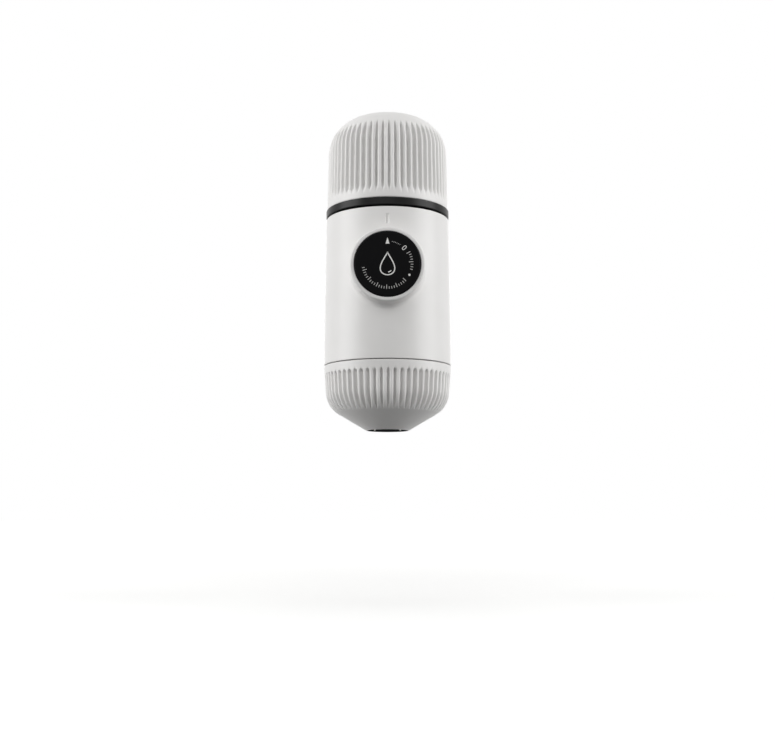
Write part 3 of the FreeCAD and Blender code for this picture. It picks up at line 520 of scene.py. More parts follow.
def glass_filled_nylon():
    """Black nylon with glass fibre: dull, with short paler fibres that the mould's flow has laid in its skin.

    The fibres are drawn 0.45 mm thick, far coarser than they are, so that they show.
    """
    def build(tree, shader, place):
        colours = settings().colours
        stretched = add_node(tree, "ShaderNodeMapping", {"Vector": place, "Scale": (1.0, 1.0, 0.25)})
        fibres = add_node(tree, "ShaderNodeTexNoise", {
            "Vector": stretched.outputs["Vector"], "Scale": 1 / (0.45 * MM), "Detail": 3.0})
        shown = add_node(tree, "ShaderNodeMapRange", {
            "Value": fibres.outputs["Fac"], "From Min": 0.52, "From Max": 0.75})
        mix = add_node(tree, "ShaderNodeMix", {
            "Factor": shown.outputs["Result"], 6: rgba(colours.nylon_black), 7: rgba(colours.nylon_fibre)},
            data_type="RGBA")
        tree.links.new(mix.outputs[2], shader.inputs["Base Color"])
        mottle(tree, shader, place, 3, 0.48, 0.60, "Roughness")
        return fibres.outputs["Fac"], 0.02, 0.5
    return finish("Nylon black, glass filled", build, IOR=1.53, Specular_IOR_Level=0.15)


def turned_acetal():
    """White acetal, turned on a lathe: waxy and warm white, with fine feed marks round the pump's axis.

    The marks are drawn 0.7 mm apart, wider than the tool leaves them, so that they show.
    """
    def build(tree, shader, place):
        base = np.array(settings().colours.acetal)
        mottle(tree, shader, place, 8, base * 0.95, base)
        marks = add_node(tree, "ShaderNodeTexWave", {"Vector": place, "Scale": marks_apart(0.7)},
                         wave_type="BANDS", bands_direction="Y")
        return marks.outputs["Fac"], 0.008, 0.35
    return finish("Acetal white, turned", build, Roughness=0.30, IOR=1.48, Subsurface_Weight=0.05,
                  Subsurface_Scale=0.001)


def spun_steel():
    """Stainless steel sheet, drawn and spun: bright, with fine rings that stretch the highlight.

    The rings are spheres about a point high on the axis, so they run round walls and floors alike. They are
    drawn 0.8 mm apart, wider than the real tool marks, so that they show.
    """
    def build(tree, shader, place):
        colours = settings().colours
        centred = add_node(tree, "ShaderNodeMapping", {"Vector": place, "Location": (0, 0, -45 * MM)})
        rings = add_node(tree, "ShaderNodeTexWave", {
            "Vector": centred.outputs["Vector"], "Scale": marks_apart(0.8), "Distortion": 0.4, "Detail": 2.0},
            wave_type="RINGS", rings_direction="SPHERICAL")
        mix = add_node(tree, "ShaderNodeMix", {
            "Factor": rings.outputs["Fac"], 6: rgba(colours.steel_dark), 7: rgba(colours.steel)},
            data_type="RGBA")
        tree.links.new(mix.outputs[2], shader.inputs["Base Color"])
        mottle(tree, shader, place, 1.2, 0.22, 0.32, "Roughness")
        return rings.outputs["Fac"], 0.004, 0.4
    return finish("Stainless steel, spun", build, Metallic=1.0)


def drawn_wire():
    """Stainless spring wire, drawn through a die: smooth and faintly clouded, with a soft gloss."""
    colours = settings().colours
    return skin("Stainless steel, drawn wire", 0.8, colours.steel_dark, colours.steel,
                rough=(2.0, 0.18, 0.30), Metallic=1.0)


def moulded_silicone():
    """Grey silicone rubber, moulded and cured: dull and slightly dusty, softer at its edges than plastic."""
    base = np.array(settings().colours.silicone)
    return skin("Silicone grey, moulded", 4, base * 0.85, base * 1.15, rough=(2, 0.55, 0.68),
                grain=(0.6, 2.0, 0.015, 0.4), IOR=1.41, Sheen_Weight=0.08, Sheen_Roughness=0.5)


def printed_ink(name, shade):
    """Pad-printed ink: flat and slightly uneven where the pad has left less of it."""
    base = np.array(shade)
    return skin(name, 0.6, base * 0.86, base, detail=3.0, Roughness=0.6, IOR=1.5)


# ---- White shells ----
def flute_cut(part):
    """How deep the flutes of the "cup" or the "head" go: troughs round the axis, lifted out at both ends.

    With the ridge's share of the trough's depth e = 1 - ((1 + cos(count * angle)) / 2) ^ ridge and a window w
    along the height, the depth is max(0, depth * (w - e)), its edge softened as s * log(1 + exp(x / s)). The
    window rises from each end as t (2 - t), which rounds the trough's ends.
    """
    flutes = settings().flutes
    depth, ridge, start, low, low_run, high, high_run = (
        getattr(flutes, f"{part}_{size}")
        for size in ("depth", "ridge", "turn", "low", "low_run", "high", "high_run"))
    soft = depth * 0.06
    faded_window = 0.15

    def cut(angle, height):
        rise, fall = np.clip((height - low) / low_run, 0, 1), np.clip((high - height) / high_run, 0, 1)
        window = rise * (2 - rise) * fall * (2 - fall)
        trough = 1 - ((1 + np.cos(flutes.count * (angle - start))) / 2) ** ridge
        sunk = depth * (window - trough)
        return soft * np.logaddexp(0, sunk / soft) * smooth_step(window, 0, faded_window)
    return cut


def cup_outline(sizes):
    """The cup's section: from the inner pole down the wall, round the rim and up over the crown."""
    foot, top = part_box("drinking_cup")
    roof = top.z - sizes.cup_roof
    side = (sizes.cup_side_radius, sizes.cup_side_top)
    knee = (sizes.cup_knee_radius, sizes.cup_knee_height)
    inside = rounded(
        (0, roof), (knee[0] - 0.5 * MM, roof, 8 * MM), (sizes.cup_bend_radius, sizes.cup_bend_height, 9 * MM),
        (side[0] - sizes.wall, side[1], 30 * MM), (top.x - sizes.wall, foot.z, 0.8 * MM),
        (top.x, foot.z, sizes.edge * 1.6), side)
    shoulder = arc(side, knee, sizes.cup_shoulder, 0.75 * MM)
    crown = arc(knee, (sizes.cup_flat, top.z), sizes.cup_crown, 1.2 * MM)
    return np.concatenate((spaced(inside, 1.35 * MM)[:-1], shoulder[:-1], crown, [[0, top.z]]))


class ESPRESSO_OT_drinking_cup(bpy.types.Operator):
    """Build the fluted drinking cup"""

    bl_idname = "espresso.drinking_cup"
    bl_label = "Drinking Cup"

    def execute(self, context):
        outline = cup_outline(settings().shells)
        widest = len(outline) - np.argmax(outline[::-1, 0]) - 1
        inside = turned(outline[:widest + 1], FLUTED_COLUMNS)
        outside = turned(outline[widest:], FLUTED_COLUMNS, flute_cut("cup"))
        cup = piece("fluted_cup", [inside, outside], moulded_abs(), "drinking_cup")
        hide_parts("drinking_cup")
        return {"FINISHED"}


def head_outline(sizes):
    """The head's section as two lines: out over the cone and up the side, and down inside to the outlet."""
    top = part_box("outlet_head")[1]
    cone = (sizes.head_cone_radius, sizes.head_cone_height)
    side = (sizes.head_side_radius, sizes.head_side_height)
    mouth = (sizes.outlet_bore, sizes.outlet_depth)
    ring = rounded(mouth, (sizes.outlet_bore, 0, 0.12 * MM), (sizes.outlet_lip, 0, 0.25 * MM), cone)
    corner = arc(cone, side, sizes.head_corner, 0.7 * MM)
    upper = rounded(side, (top.x, top.z, sizes.edge), (sizes.head_bore, top.z, sizes.edge),
                    (sizes.head_bore, sizes.head_shelf, 4 * MM),
                    (sizes.head_bend_radius, sizes.head_bend_height, 4 * MM),
                    (sizes.outlet_seat, sizes.outlet_depth, 0.5 * MM), mouth)
    highest = upper[:, 1].argmax()
    rise = spaced(upper[:highest + 1], 0.75 * MM)
    return np.concatenate((spaced(ring, 1.2 * MM)[:-1], corner[:-1], rise)), upper[highest:]


class ESPRESSO_OT_brewing_head(bpy.types.Operator):
    """Build the fluted skin of the brewing head"""

    bl_idname = "espresso.brewing_head"
    bl_label = "Brewing Head"

    def execute(self, context):
        outer, inner = head_outline(settings().shells)
        patches = [turned(outer, FLUTED_COLUMNS, flute_cut("head")), turned(inner, FLUTED_COLUMNS)]
        head = piece("fluted_head", patches, moulded_abs(), "outlet_head")
        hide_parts("outlet_head")
        return {"FINISHED"}


def across(half_width, fine_half, fine_count, coarse_step):
    """Places from -half_width to half_width that stand close together in the middle."""
    coarse = math.ceil((half_width - fine_half) / coarse_step)
    return np.concatenate((
        np.linspace(-half_width, -fine_half, coarse, endpoint=False),
        np.linspace(-fine_half, fine_half, fine_count),
        np.linspace(fine_half, half_width, coarse + 1)[1:]))


def index_mark(x, z):
    """How deep the index mark goes at x to the right of the middle and at the height z.

    Its left side drops within a sixth of its width, its floor slopes up over the right half, and its ends run
    out over a millimetre.
    """
    sizes = settings().shells
    half = sizes.tick_width / 2
    sides = smooth_step(x, -half, -half * 0.65) * (1 - smooth_step(x, 0, half))
    ends = smooth_step(z, sizes.tick_low, sizes.tick_low + MM) * (
        1 - smooth_step(z, sizes.tick_high - MM, sizes.tick_high))
    return sizes.tick_depth * sides * ends


def on_tube(t, z, radius):
    """Points of a tube about Z whose angle t counts from -Y towards +X: (r sin t, -r cos t, z)."""
    return polar(radius, t - math.pi / 2, z)


def pump_shell_patches(sizes):
    """The pump shell as patches: the collar's rings in a window of tube, the rest of the tube and its rims.

    Each point of the window's border has one line of points that runs in to the collar, over its blend and
    lip, down its bore and out again to the same point of the inner wall. The blend is the path of a ball that
    touches tube and collar: its centre is one ball's radius outside both.
    """
    low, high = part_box("main_shell")
    bottom, top, bottom_radius = low.z, high.z, high.x
    front = -low.y
    slope = (sizes.shell_top_radius - bottom_radius) / (top - bottom)
    edge, blend_radius = sizes.edge, sizes.collar_blend
    foot_top = bottom + sizes.shell_lip_height
    z_low, z_high = bottom + edge, top - edge
    middle_radius = (bottom_radius + sizes.shell_top_radius) / 2

    def outer_radius(z):
        """The tube's radius, which grows evenly with its height."""
        return bottom_radius + slope * (z - bottom)

    def inner_radius(z):
        """The same radius less the wall."""
        return outer_radius(z) - sizes.wall

    def inner_height(z):
        """The height inside that goes with one outside, because the inner wall starts over the foot."""
        return foot_top + (z - z_low) * (z_high - foot_top) / (z_high - z_low)

    # The window's half width as an angle, its columns, which stand closer at the index mark, and its rows
    span = math.radians(62)
    mark_half, mark_columns, plain_step, rows = 2.4 * MM, 39, 1.1 * MM, 70
    row = across(span, mark_half / middle_radius, mark_columns, plain_step / middle_radius)
    column = np.linspace(z_high, z_low, rows)
    border_t = np.concatenate((row, np.full(rows - 2, span), row[::-1], np.full(rows - 2, -span)))
    border_z = np.concatenate((np.full(len(row), z_high), column[1:-1],
                               np.full(len(row), z_low), column[-2:0:-1]))
    bearing = np.arctan2(border_t * middle_radius, border_z - KNOB_Z)
    sine, cosine = np.sin(bearing), np.cos(bearing)

    def ring(radius, y):
        """A circle about the pump's axis: (r sin b, y, knob's height + r cos b) for each bearing b."""
        return np.stack((radius * sine, np.broadcast_to(y, sine.shape), KNOB_Z + radius * cosine), -1)

    tilt = math.sqrt(1 + slope ** 2)
    ball_x = (sizes.collar_radius + blend_radius) * sine
    ball_z = KNOB_Z + (sizes.collar_radius + blend_radius) * cosine
    ball_r = outer_radius(ball_z) + blend_radius * tilt
    ball = np.stack((ball_x, -np.sqrt(ball_r ** 2 - ball_x ** 2), ball_z), -1)
    touch_r, touch_z = ball_r - blend_radius / tilt, ball_z + blend_radius * slope / tilt
    touch_t = np.arcsin(ball_x / ball_r)
    on_shell = on_tube(touch_t, touch_z, touch_r) - ball
    on_collar = ring(sizes.collar_radius, ball[:, 1]) - ball
    sweep = np.arccos(np.clip((on_shell * on_collar).sum(1) / blend_radius ** 2, -1, 1))[:, None]

    tube_rings, blend_rings, wall_rings, back_columns = 36, 15, 12, 130
    rings = []
    for share in np.linspace(0, 1, tube_rings, endpoint=False):
        t = border_t + (touch_t - border_t) * share
        z = border_z + (touch_z - border_z) * share
        rings.append(on_tube(t, z, outer_radius(z) - index_mark(t * middle_radius, z)))
    for share in np.linspace(0, 1, blend_rings):
        rings.append(ball + swing(on_shell, on_collar, sweep, share))
    lip_start = front - sizes.collar_lip
    for share in (0.35, 0.7):
        rings.append(ring(sizes.collar_radius, ball[:, 1] + (-lip_start - ball[:, 1]) * share))
    lip = rounded((lip_start, sizes.collar_radius), (front, sizes.collar_radius, sizes.collar_lip * NEARLY),
                  (front, sizes.collar_bore, edge * 0.7), (sizes.ring_seat_front, sizes.collar_bore),
                  (sizes.ring_seat_front, sizes.ring_seat), (sizes.collar_back, sizes.ring_seat),
                  (sizes.collar_back, sizes.collar_radius))
    rings += [ring(radius, -out) for out, radius in spaced(lip, 2.5 * MM)]
    meet_z = KNOB_Z + sizes.collar_radius * cosine
    meet_t = np.arcsin(sizes.collar_radius * sine / inner_radius(meet_z))
    for share in np.linspace(0, 1, wall_rings):
        z = meet_z + (inner_height(border_z) - meet_z) * share
        rings.append(on_tube(meet_t + (border_t - meet_t) * share, z, inner_radius(z)))
    window = surface(np.stack(rings), close_columns=True)

    back = np.linspace(span, 2 * math.pi - span, back_columns)
    walls = [surface(on_tube(back, z, radius_at(z))) for z, radius_at in (
        (column[:, None], outer_radius), (inner_height(column)[:, None], inner_radius))]

    whole = np.concatenate((row, back[1:-1], row[:1])) - math.pi / 2
    upper = rounded((outer_radius(z_high), z_high), (outer_radius(top), top, edge * 0.99),
                    (inner_radius(top), top, edge * 0.9), (inner_radius(z_high), z_high))
    lower = rounded((inner_radius(foot_top), foot_top), (sizes.shell_lip_radius, foot_top, edge),
                    (sizes.shell_lip_radius, bottom, edge), (bottom_radius, bottom, edge * 0.99),
                    (outer_radius(z_low), z_low))
    return [window, *walls, turned(upper, angles=whole), turned(lower, angles=whole)]


class ESPRESSO_OT_pump_shell(bpy.types.Operator):
    """Build the pump shell with its raised collar"""

    bl_idname = "espresso.pump_shell"
    bl_label = "Pump Shell"

    def execute(self, context):
        shell = piece("pump_shell", pump_shell_patches(settings().shells), moulded_abs(), "pump_body")
        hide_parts("main_shell")
        return {"FINISHED"}


# ---- Tank, threads and knob ----
class ESPRESSO_OT_water_tank(bpy.types.Operator):
    """Build the smoked water tank with its ring"""

    bl_idname = "espresso.water_tank"
    bl_label = "Water Tank"

    def execute(self, context):
        works = settings().works
        low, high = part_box("water_tank")
        ring_top, ring_foot = works.tank_ring_top, works.tank_ring_foot
        roof_inside, roof_outside = 21.7 * MM, 22.6 * MM
        outline = rounded(
            (0, works.tank_roof), (roof_inside, works.tank_roof, 2 * MM),
            (works.tank_bore, works.tank_shoulder, 6 * MM), (works.tank_bore, ring_top, 1.5 * MM),
            (works.tank_neck_bore, ring_foot, 1.5 * MM), (works.tank_neck_bore, low.z, 0.4 * MM),
            (works.tank_neck, low.z, 0.4 * MM), (works.tank_neck, ring_foot, 0.3 * MM),
            (high.x, ring_foot, 0.45 * MM), (high.x, ring_top, 0.35 * MM),
            (works.tank_radius, ring_top, 0.8 * MM), (works.tank_radius, works.tank_shoulder, 7 * MM),
            (roof_outside, high.z, 2.2 * MM), (0, high.z))
        patches = [turned(spaced(outline, 4 * MM), 256)]
        tank = piece("smoked_tank", patches, smoked_copolyester(), "water_tank")
        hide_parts("water_tank")
        return {"FINISHED"}


def thread_ridge(wall_radius, inward, low, high, lead, starts):
    """Threads on a wall of this radius: a rounded section carried along a helix.

    A start's line is (r cos a, r sin a, low + lead * (a / turn)), and its section stands the thread's height
    over the wall; it grows out of the wall in the first sixth of a turn and back into it in the last.
    """
    works = settings().works
    side = -1.0 if inward else 1.0
    half_width = works.thread_width / 2
    turns = (high - low - works.thread_width) / lead
    share = np.linspace(0, 1, math.ceil(turns * THREAD_STEPS))[:, None]
    angle = share * turns * 2 * math.pi
    run = 1 / 6 / turns
    grown = smooth_step(share, 0, run) * (1 - smooth_step(share, 1 - run, 1))
    stands, place = THREAD_SECTION.T
    sunk_foot, narrowest = 0.02, 0.15
    stands = np.where(stands > 0, stands * grown, stands) - sunk_foot
    radius = wall_radius + side * works.thread_height * stands
    height = (low + half_width + lead * angle / (2 * math.pi)
              + place * half_width * (narrowest + (1 - narrowest) * grown))
    patches = []
    for start in range(starts):
        points = polar(radius, angle + start * 2 * math.pi / starts, height)
        points[0], points[-1] = points[0].mean(0), points[-1].mean(0)
        patches.append(surface(points, close_columns=True))
    return patches


class ESPRESSO_OT_threads(bpy.types.Operator):
    """Build the screw threads of the tank and the brewing head"""

    bl_idname = "espresso.threads"
    bl_label = "Screw Threads"

    def execute(self, context):
        works = settings().works
        nylon = glass_filled_nylon()
        # Name, the wall's radius, inward, foot and top in millimetres, lead, starts, material, body and slot
        threads = (
            ("tank_thread", 24.9, False, 98.4, 104.3, works.tank_lead, 1, smoked_copolyester(), "water_tank",
             "smoked_plastic"),
            ("socket_thread", 25.8, True, 98.6, 103.2, works.tank_lead, 1, nylon, "pump_body", "black_nylon"),
            ("neck_thread", 26.6, False, 21.3, 30.6, works.head_lead, 2, nylon, "pump_body", "black_nylon"),
            ("head_thread", 27.5, True, 19.6, 30.5, works.head_lead, 2, moulded_abs(), "outlet_head",
             "white_plastic"),
        )
        for name, radius, inward, low, high, lead, starts, material, body, slot in threads:
            patches = thread_ridge(radius * MM, inward, low * MM, high * MM, lead, starts)
            piece(name, patches, material, body)
        return {"FINISHED"}


def ink_line(path, width, close=False):
    """A printed line on the dial: a flat rectangle carried along a path of (right, up) points.

    Its sides stand half the width to either side of the path, along (-dy, dx) of its direction. Path and
    width are in millimetres.
    """
    path = np.asarray(path, float) * MM
    if close:
        before, after = np.roll(path, 1, 0), np.roll(path, -1, 0)
    else:
        before, after = np.concatenate((path[:1], path[:-1])), np.concatenate((path[1:], path[-1:]))
    way = after - before
    way /= np.linalg.norm(way, axis=1, keepdims=True)
    half_width = np.broadcast_to(width, len(path))[:, None] * MM / 2
    side = np.stack((-way[:, 1], way[:, 0]), -1) * half_width
    back = DIAL_FACE_Y + 0.01 * MM
    face = DIAL_FACE_Y - settings().works.ink
    corners = [(path + side, back), (path - side, back), (path - side, face), (path + side, face)]
    points = np.stack([np.stack((flat[:, 0], np.full(len(flat), y), KNOB_Z + flat[:, 1]), -1)
                       for flat, y in corners], 1)
    patches = [surface(points, close_rows=close, close_columns=True)]
    if not close:
        patches += [(points[end], np.array([[0, 1, 2, 3]])) for end in (0, -1)]
    return patches


def round_dial(degrees, radius):
    """A place on the dial: degrees clockwise from the pointer."""
    bearing = np.radians(degrees)
    return np.stack((radius * np.sin(bearing), radius * np.cos(bearing)), -1)


def dot(centre, radius):
    """A round dot: a short line whose width is the chord 2 sqrt(r^2 - x^2)."""
    x = -np.cos(np.linspace(0.12, math.pi - 0.12, 15)) * radius
    path = np.stack((centre[0] + x, np.full(len(x), centre[1])), -1)
    return ink_line(path, 2 * np.sqrt(radius ** 2 - x ** 2))


def drop_curve(width, height):
    """A water drop drawn up to a point: x = 0.65 w sin t sin(t / 2) ^ 1.5 and y = h / 2 cos t."""
    t = round_turn(96)
    return np.stack((width * 0.65 * np.sin(t) * np.abs(np.sin(t / 2)) ** 1.5, height / 2 * np.cos(t)), -1)


def zero_curve():
    """A zero's line, leaning 46 degrees: x = a sgn(cos t) |cos t|^0.6 and y = b sgn(sin t) |sin t|^0.85."""
    t = round_turn(48)
    x = 0.58 * np.sign(np.cos(t)) * np.abs(np.cos(t)) ** 0.6
    y = 1.08 * np.sign(np.sin(t)) * np.abs(np.sin(t)) ** 0.85
    lean = math.radians(46)
    return np.stack((x * math.cos(lean) + y * math.sin(lean), -x * math.sin(lean) + y * math.cos(lean)), -1)


class ESPRESSO_OT_knob(bpy.types.Operator):
    """Build the knob's dial and its printed marks"""

    bl_idname = "espresso.knob"
    bl_label = "Knob Dial"

    def execute(self, context):
        low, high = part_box("knob_cap")
        face, back, radius = -low.y, -high.y, high.x
        outline = rounded((0, back), (radius, back, 0.2 * MM), (radius, face, 0.5 * MM), (0, face))
        cap = piece("dial", [on_pump_axis(turned(outline))], black_dial(), "knob")
        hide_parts("knob_cap")

        # The pointer, the zero, the dot, the row of small dots, the drop and the shine inside it
        bright = ink_line([(0, 9.3), (0, 12.1)], (1.8, 0.12))
        bright += ink_line(round_dial(46.5, 10.7) + zero_curve(), 0.3, close=True)
        bright += dot(round_dial(118, 11.4), 0.52)
        for degrees in np.linspace(12, 33, 6):
            bright += dot(round_dial(degrees, 10.5), 0.14)
        bright += ink_line(drop_curve(7.3, 10.6), 0.52, close=True)
        shine = round_dial(-np.linspace(128, 232, 40)[22:], 2.15) - (0, 1.9)
        bright += ink_line(shine, 0.42)
        silver = printed_ink("Ink silver, pad printed", settings().colours.ink_silver)
        piece("dial_marks", bright, silver, "knob")

        scale = []
        scale_edge, tall, short = 11.9, 2.0, 1.2
        for step, degrees in enumerate((*range(62, 105, 6), *range(134, 261, 6))):
            inner = scale_edge - (short if step % 4 else tall)
            scale += ink_line([round_dial(degrees, inner), round_dial(degrees, scale_edge)], 0.34)
        grey = printed_ink("Ink grey, pad printed", settings().colours.ink_grey)
        piece("dial_scale", scale, grey, "knob")
        return {"FINISHED"}


class ESPRESSO_OT_return_spring(bpy.types.Operator):
    """Wind the return spring"""

    bl_idname = "espresso.return_spring"
    bl_label = "Return Spring"

    def execute(self, context):
        # A circle carried along a helix: its first and last turn are closed, the turns between rise evenly
        works = settings().works
        low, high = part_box("return_spring")
        wire = works.wire / 2
        near, far = -high.y + wire, -low.y - wire
        turns, steps_in_a_turn = works.coils + 2, 60
        share = np.linspace(0, 1, turns * steps_in_a_turn + 1)[:, None]
        along = near + (far - near) * np.clip((share * turns - 1) / (turns - 2), 0, 1)
        around = round_turn(12)
        points = polar(works.coil + wire * np.cos(around), share * turns * 2 * math.pi,
                       along + wire * np.sin(around))
        caps = [(points[end], np.arange(len(around))[None]) for end in (0, -1)]
        patches = [surface(points, close_columns=True), *caps]
        spring = piece("spring_coil", [on_pump_axis(patch) for patch in patches], drawn_wire(), "pump_body")
        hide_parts("return_spring")
        return {"FINISHED"}


# ---- Small metal parts and the nozzle ----
def circle(radius, count, centre=(0.0, 0.0)):
    """Points evenly round a circle."""
    return polar(radius, round_turn(count), 0.0)[:, :2] + centre


def wall(loop, low, thickness):
    """An upright wall of this height over a loop of (x, y) points."""
    levels = [np.column_stack((loop, np.full(len(loop), height))) for height in (low, low + thickness)]
    return surface(np.stack(levels), close_columns=True)


def perforated(radius, inner, low, thickness, hole, pitch, rim):
    """A round sheet with holes in a honeycomb and, unless inner is 0, a larger hole in its middle.

    The rows of holes stand pitch * sqrt(3) / 2 apart and every other one is shifted. The flat between the
    loops is a triangulation, laid once below and once above, with a wall round each hole. The outer edge
    stays open.
    """
    steps = math.ceil(radius / pitch) + 1
    i, j = np.meshgrid(np.arange(-steps, steps + 1), np.arange(-2 * steps, 2 * steps + 1), indexing="ij")
    x, y = pitch * (i + 0.5 * (j % 2)), pitch * math.sqrt(3) / 2 * j
    away = np.hypot(x, y)
    keep = away < radius - rim - hole
    loops = [circle(radius, SHEET_COLUMNS)]
    if inner:
        keep &= away > inner + rim + hole
        loops.append(circle(inner, MIDDLE_HOLE_COLUMNS))
    loops += [circle(hole, HOLE_COLUMNS, centre) for centre in zip(x[keep], y[keep])]
    starts = np.cumsum([0] + [len(loop) for loop in loops])
    edges = [(start + k, start + (k + 1) % len(loop))
             for start, loop in zip(starts, loops) for k in range(len(loop))]
    in_millimetres = [Vector(point) for point in np.concatenate(loops) * (1 / MM)]
    inside_without_holes = 2
    points, _, faces, *_ = geometry.delaunay_2d_cdt(in_millimetres, edges, [], inside_without_holes, 1e-6)
    plan = np.array([tuple(point) for point in points]) * MM
    faces = np.array([list(face) for face in faces])
    patches = [(np.column_stack((plan, np.full(len(plan), height))), faces)
               for height in (low, low + thickness)]
    return patches + [wall(loop, low, thickness) for loop in loops[1:]]


def screw_head(radius, low, high, socket, depth):
    """A domed screw head with a hexagon socket, seen from below.

    The socket's wall stands at socket / cos(a - the nearest sixth of a turn) from the middle.
    """
    angle = round_turn(96)
    hexagon = socket / np.cos((angle + math.pi / 6) % (math.pi / 3) - math.pi / 6)
    rows = ((0, low + depth), (hexagon, low + depth), (hexagon, low + 0.05 * MM), (hexagon + 0.12 * MM, low),
            (radius * 0.72, low), (radius * 0.93, low + 0.18 * MM), (radius, low + 0.45 * MM), (radius, high),
            (0, high))
    return surface(np.stack([polar(out, angle, height) for out, height in rows]), close_columns=True)


class ESPRESSO_OT_metal_parts(bpy.types.Operator):
    """Press the basket, the screens and the screw's head"""

    bl_idname = "espresso.metal_parts"
    bl_label = "Metal Parts"

    def execute(self, context):
        works = settings().works
        low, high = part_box("filter_basket")
        sheet, radius = works.basket_sheet, works.basket_radius
        floor = perforated(works.basket_floor, 0, low.z, sheet, works.basket_hole, works.basket_pitch,
                           0.7 * MM)
        side = rounded(
            (works.basket_floor, low.z), (radius, low.z, 1.2 * MM), (radius, works.basket_rim, 0.35 * MM),
            (high.x, works.basket_rim, 0.3 * MM), (high.x, high.z, 0.35 * MM),
            (radius - sheet, high.z, 0.7 * MM), (radius - sheet, low.z + sheet, 0.6 * MM),
            (works.basket_floor, low.z + sheet))
        patches = [*floor, turned(spaced(side, 2 * MM), SHEET_COLUMNS)]
        basket = piece("perforated_basket", patches, spun_steel(), "filter_basket")
        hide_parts("filter_basket")

        # Name, replaced node, middle hole, radius and spacing of the holes, and the plain rim in millimetres
        screens = (
            ("perforated_screen", "shower_screen", works.screen_bore, works.screen_hole, works.screen_pitch,
             0.9),
            ("mesh_strainer", "inlet_strainer", 0, works.strainer_hole, works.strainer_pitch, 0.5),
        )
        for name, node, inner, hole, pitch, rim in screens:
            low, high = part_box(node)
            radius, thickness = (high.x - low.x) / 2, high.z - low.z
            patches = perforated(radius, inner, low.z, thickness, hole, pitch, rim * MM)
            patches.append(wall(circle(radius, SHEET_COLUMNS), low.z, thickness))
            middle = np.array(((low.x + high.x) / 2, (low.y + high.y) / 2, 0))
            placed = [(points + middle, faces) for points, faces in patches]
            screen = piece(name, placed, spun_steel(), "pump_body")
            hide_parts(node)

        low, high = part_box("screen_screw")
        head_height, socket, socket_depth = 1.1 * MM, 1.15 * MM, 0.8 * MM
        head = screw_head(high.x, low.z, low.z + head_height, socket, socket_depth)
        shank_foot, shank_radius = low.z + 1.0 * MM, 1.5 * MM
        shank = rounded((0, shank_foot), (shank_radius, shank_foot), (shank_radius, high.z, 0.3 * MM),
                        (0, high.z))
        screw = piece("socket_screw", [head, turned(shank, 48)], spun_steel(), "pump_body")
        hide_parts("screen_screw")
        return {"FINISHED"}


class ESPRESSO_OT_nozzle(bpy.types.Operator):
    """Build the nozzle in the outlet"""

    bl_idname = "espresso.nozzle"
    bl_label = "Outlet Nozzle"

    def execute(self, context):
        works = settings().works
        low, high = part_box("outlet_nozzle")
        bore, ceiling, roof = works.nozzle_bore, works.nozzle_ceiling, works.nozzle_roof
        # From the middle hole's top down, out under the dished ceiling, round the foot and back over the roof
        hole, step, dish = 1.6 * MM, ceiling + 0.1 * MM, ceiling + 0.45 * MM
        boss, boss_bore = 5.0 * MM, 4.3 * MM
        outline = rounded(
            (hole, roof), (hole, step, 0.2 * MM), (2.6 * MM, step, 0.2 * MM), (3.1 * MM, dish, 0.15 * MM),
            (7.2 * MM, dish, 0.3 * MM), (7.7 * MM, ceiling, 0.2 * MM), (bore, ceiling, 0.3 * MM),
            (bore, low.z, 0.12 * MM), (high.x, low.z, 0.12 * MM), (high.x, roof, 0.1 * MM),
            (boss, roof, 0.1 * MM), (boss, high.z, 0.1 * MM), (boss_bore, high.z, 0.1 * MM),
            (boss_bore, roof), (hole, roof))
        nozzle = piece("dished_nozzle", [turned(outline, SHEET_COLUMNS)], glass_filled_nylon(), "outlet_head")
        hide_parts("outlet_nozzle")

        # A lug is a domed pin, turned about Z and laid over, so that it points from the bore to the middle
        lug_radius, lug_foot, lug_top, lug_height = 0.65 * MM, -0.2 * MM, 0.55 * MM, 1.1 * MM
        points, faces = turned(rounded((0, lug_foot), (lug_radius, lug_foot), (lug_radius, lug_top, 0.6 * MM),
                                       (0, lug_top)), 32)
        lugs = []
        for bearing in np.radians((48, 132, 228, 312)):
            sine, cosine = np.sin(bearing), np.cos(bearing)
            inward, side = np.array((cosine, sine, 0)), np.array((sine, -cosine, 0))
            lugs.append((inward * (bore - points[:, 2:]) + side * points[:, :1]
                         + np.array((0, 0, 1)) * (lug_height + points[:, 1:2]), faces))
        piece("nozzle_lugs", lugs, drawn_wire(), "outlet_head")
        return {"FINISHED"}


class ESPRESSO_OT_inner_parts(bpy.types.Operator):
    """Give the carried-over nodes their materials"""

    bl_idname = "espresso.inner_parts"
    bl_label = "Inner Parts"

    def execute(self, context):
        kinds = {"white_acetal": turned_acetal, "black_nylon": glass_filled_nylon, "steel": drawn_wire,
                 "silicone": moulded_silicone, "white_plastic": moulded_abs,
                 "smoked_plastic": smoked_copolyester, "gloss_black": black_dial}
        for part in frame["record"]["subparts"]:
            node = frame["nodes"][part["node"]]
            if not node.hide_render:
                node.data.materials.clear()
                node.data.materials.append(kinds[part["material_slot"]]())
        return {"FINISHED"}


# ---- Stage ----
def soft_lamp(name, place, width, height, watts):
    """A rectangular area lamp at a place, turned to face the maker's middle."""
    data = bpy.data.lights.new(name, "AREA")
    data.shape, data.size, data.size_y, data.energy = "RECTANGLE", width, height, watts
    lamp = bpy.data.objects.new(name, data)
    lamp.location = place
    lamp.rotation_euler = (Vector(LAMP_AIM) - Vector(place)).to_track_quat("-Z", "Y").to_euler()
    bpy.context.scene.collection.objects.link(lamp)


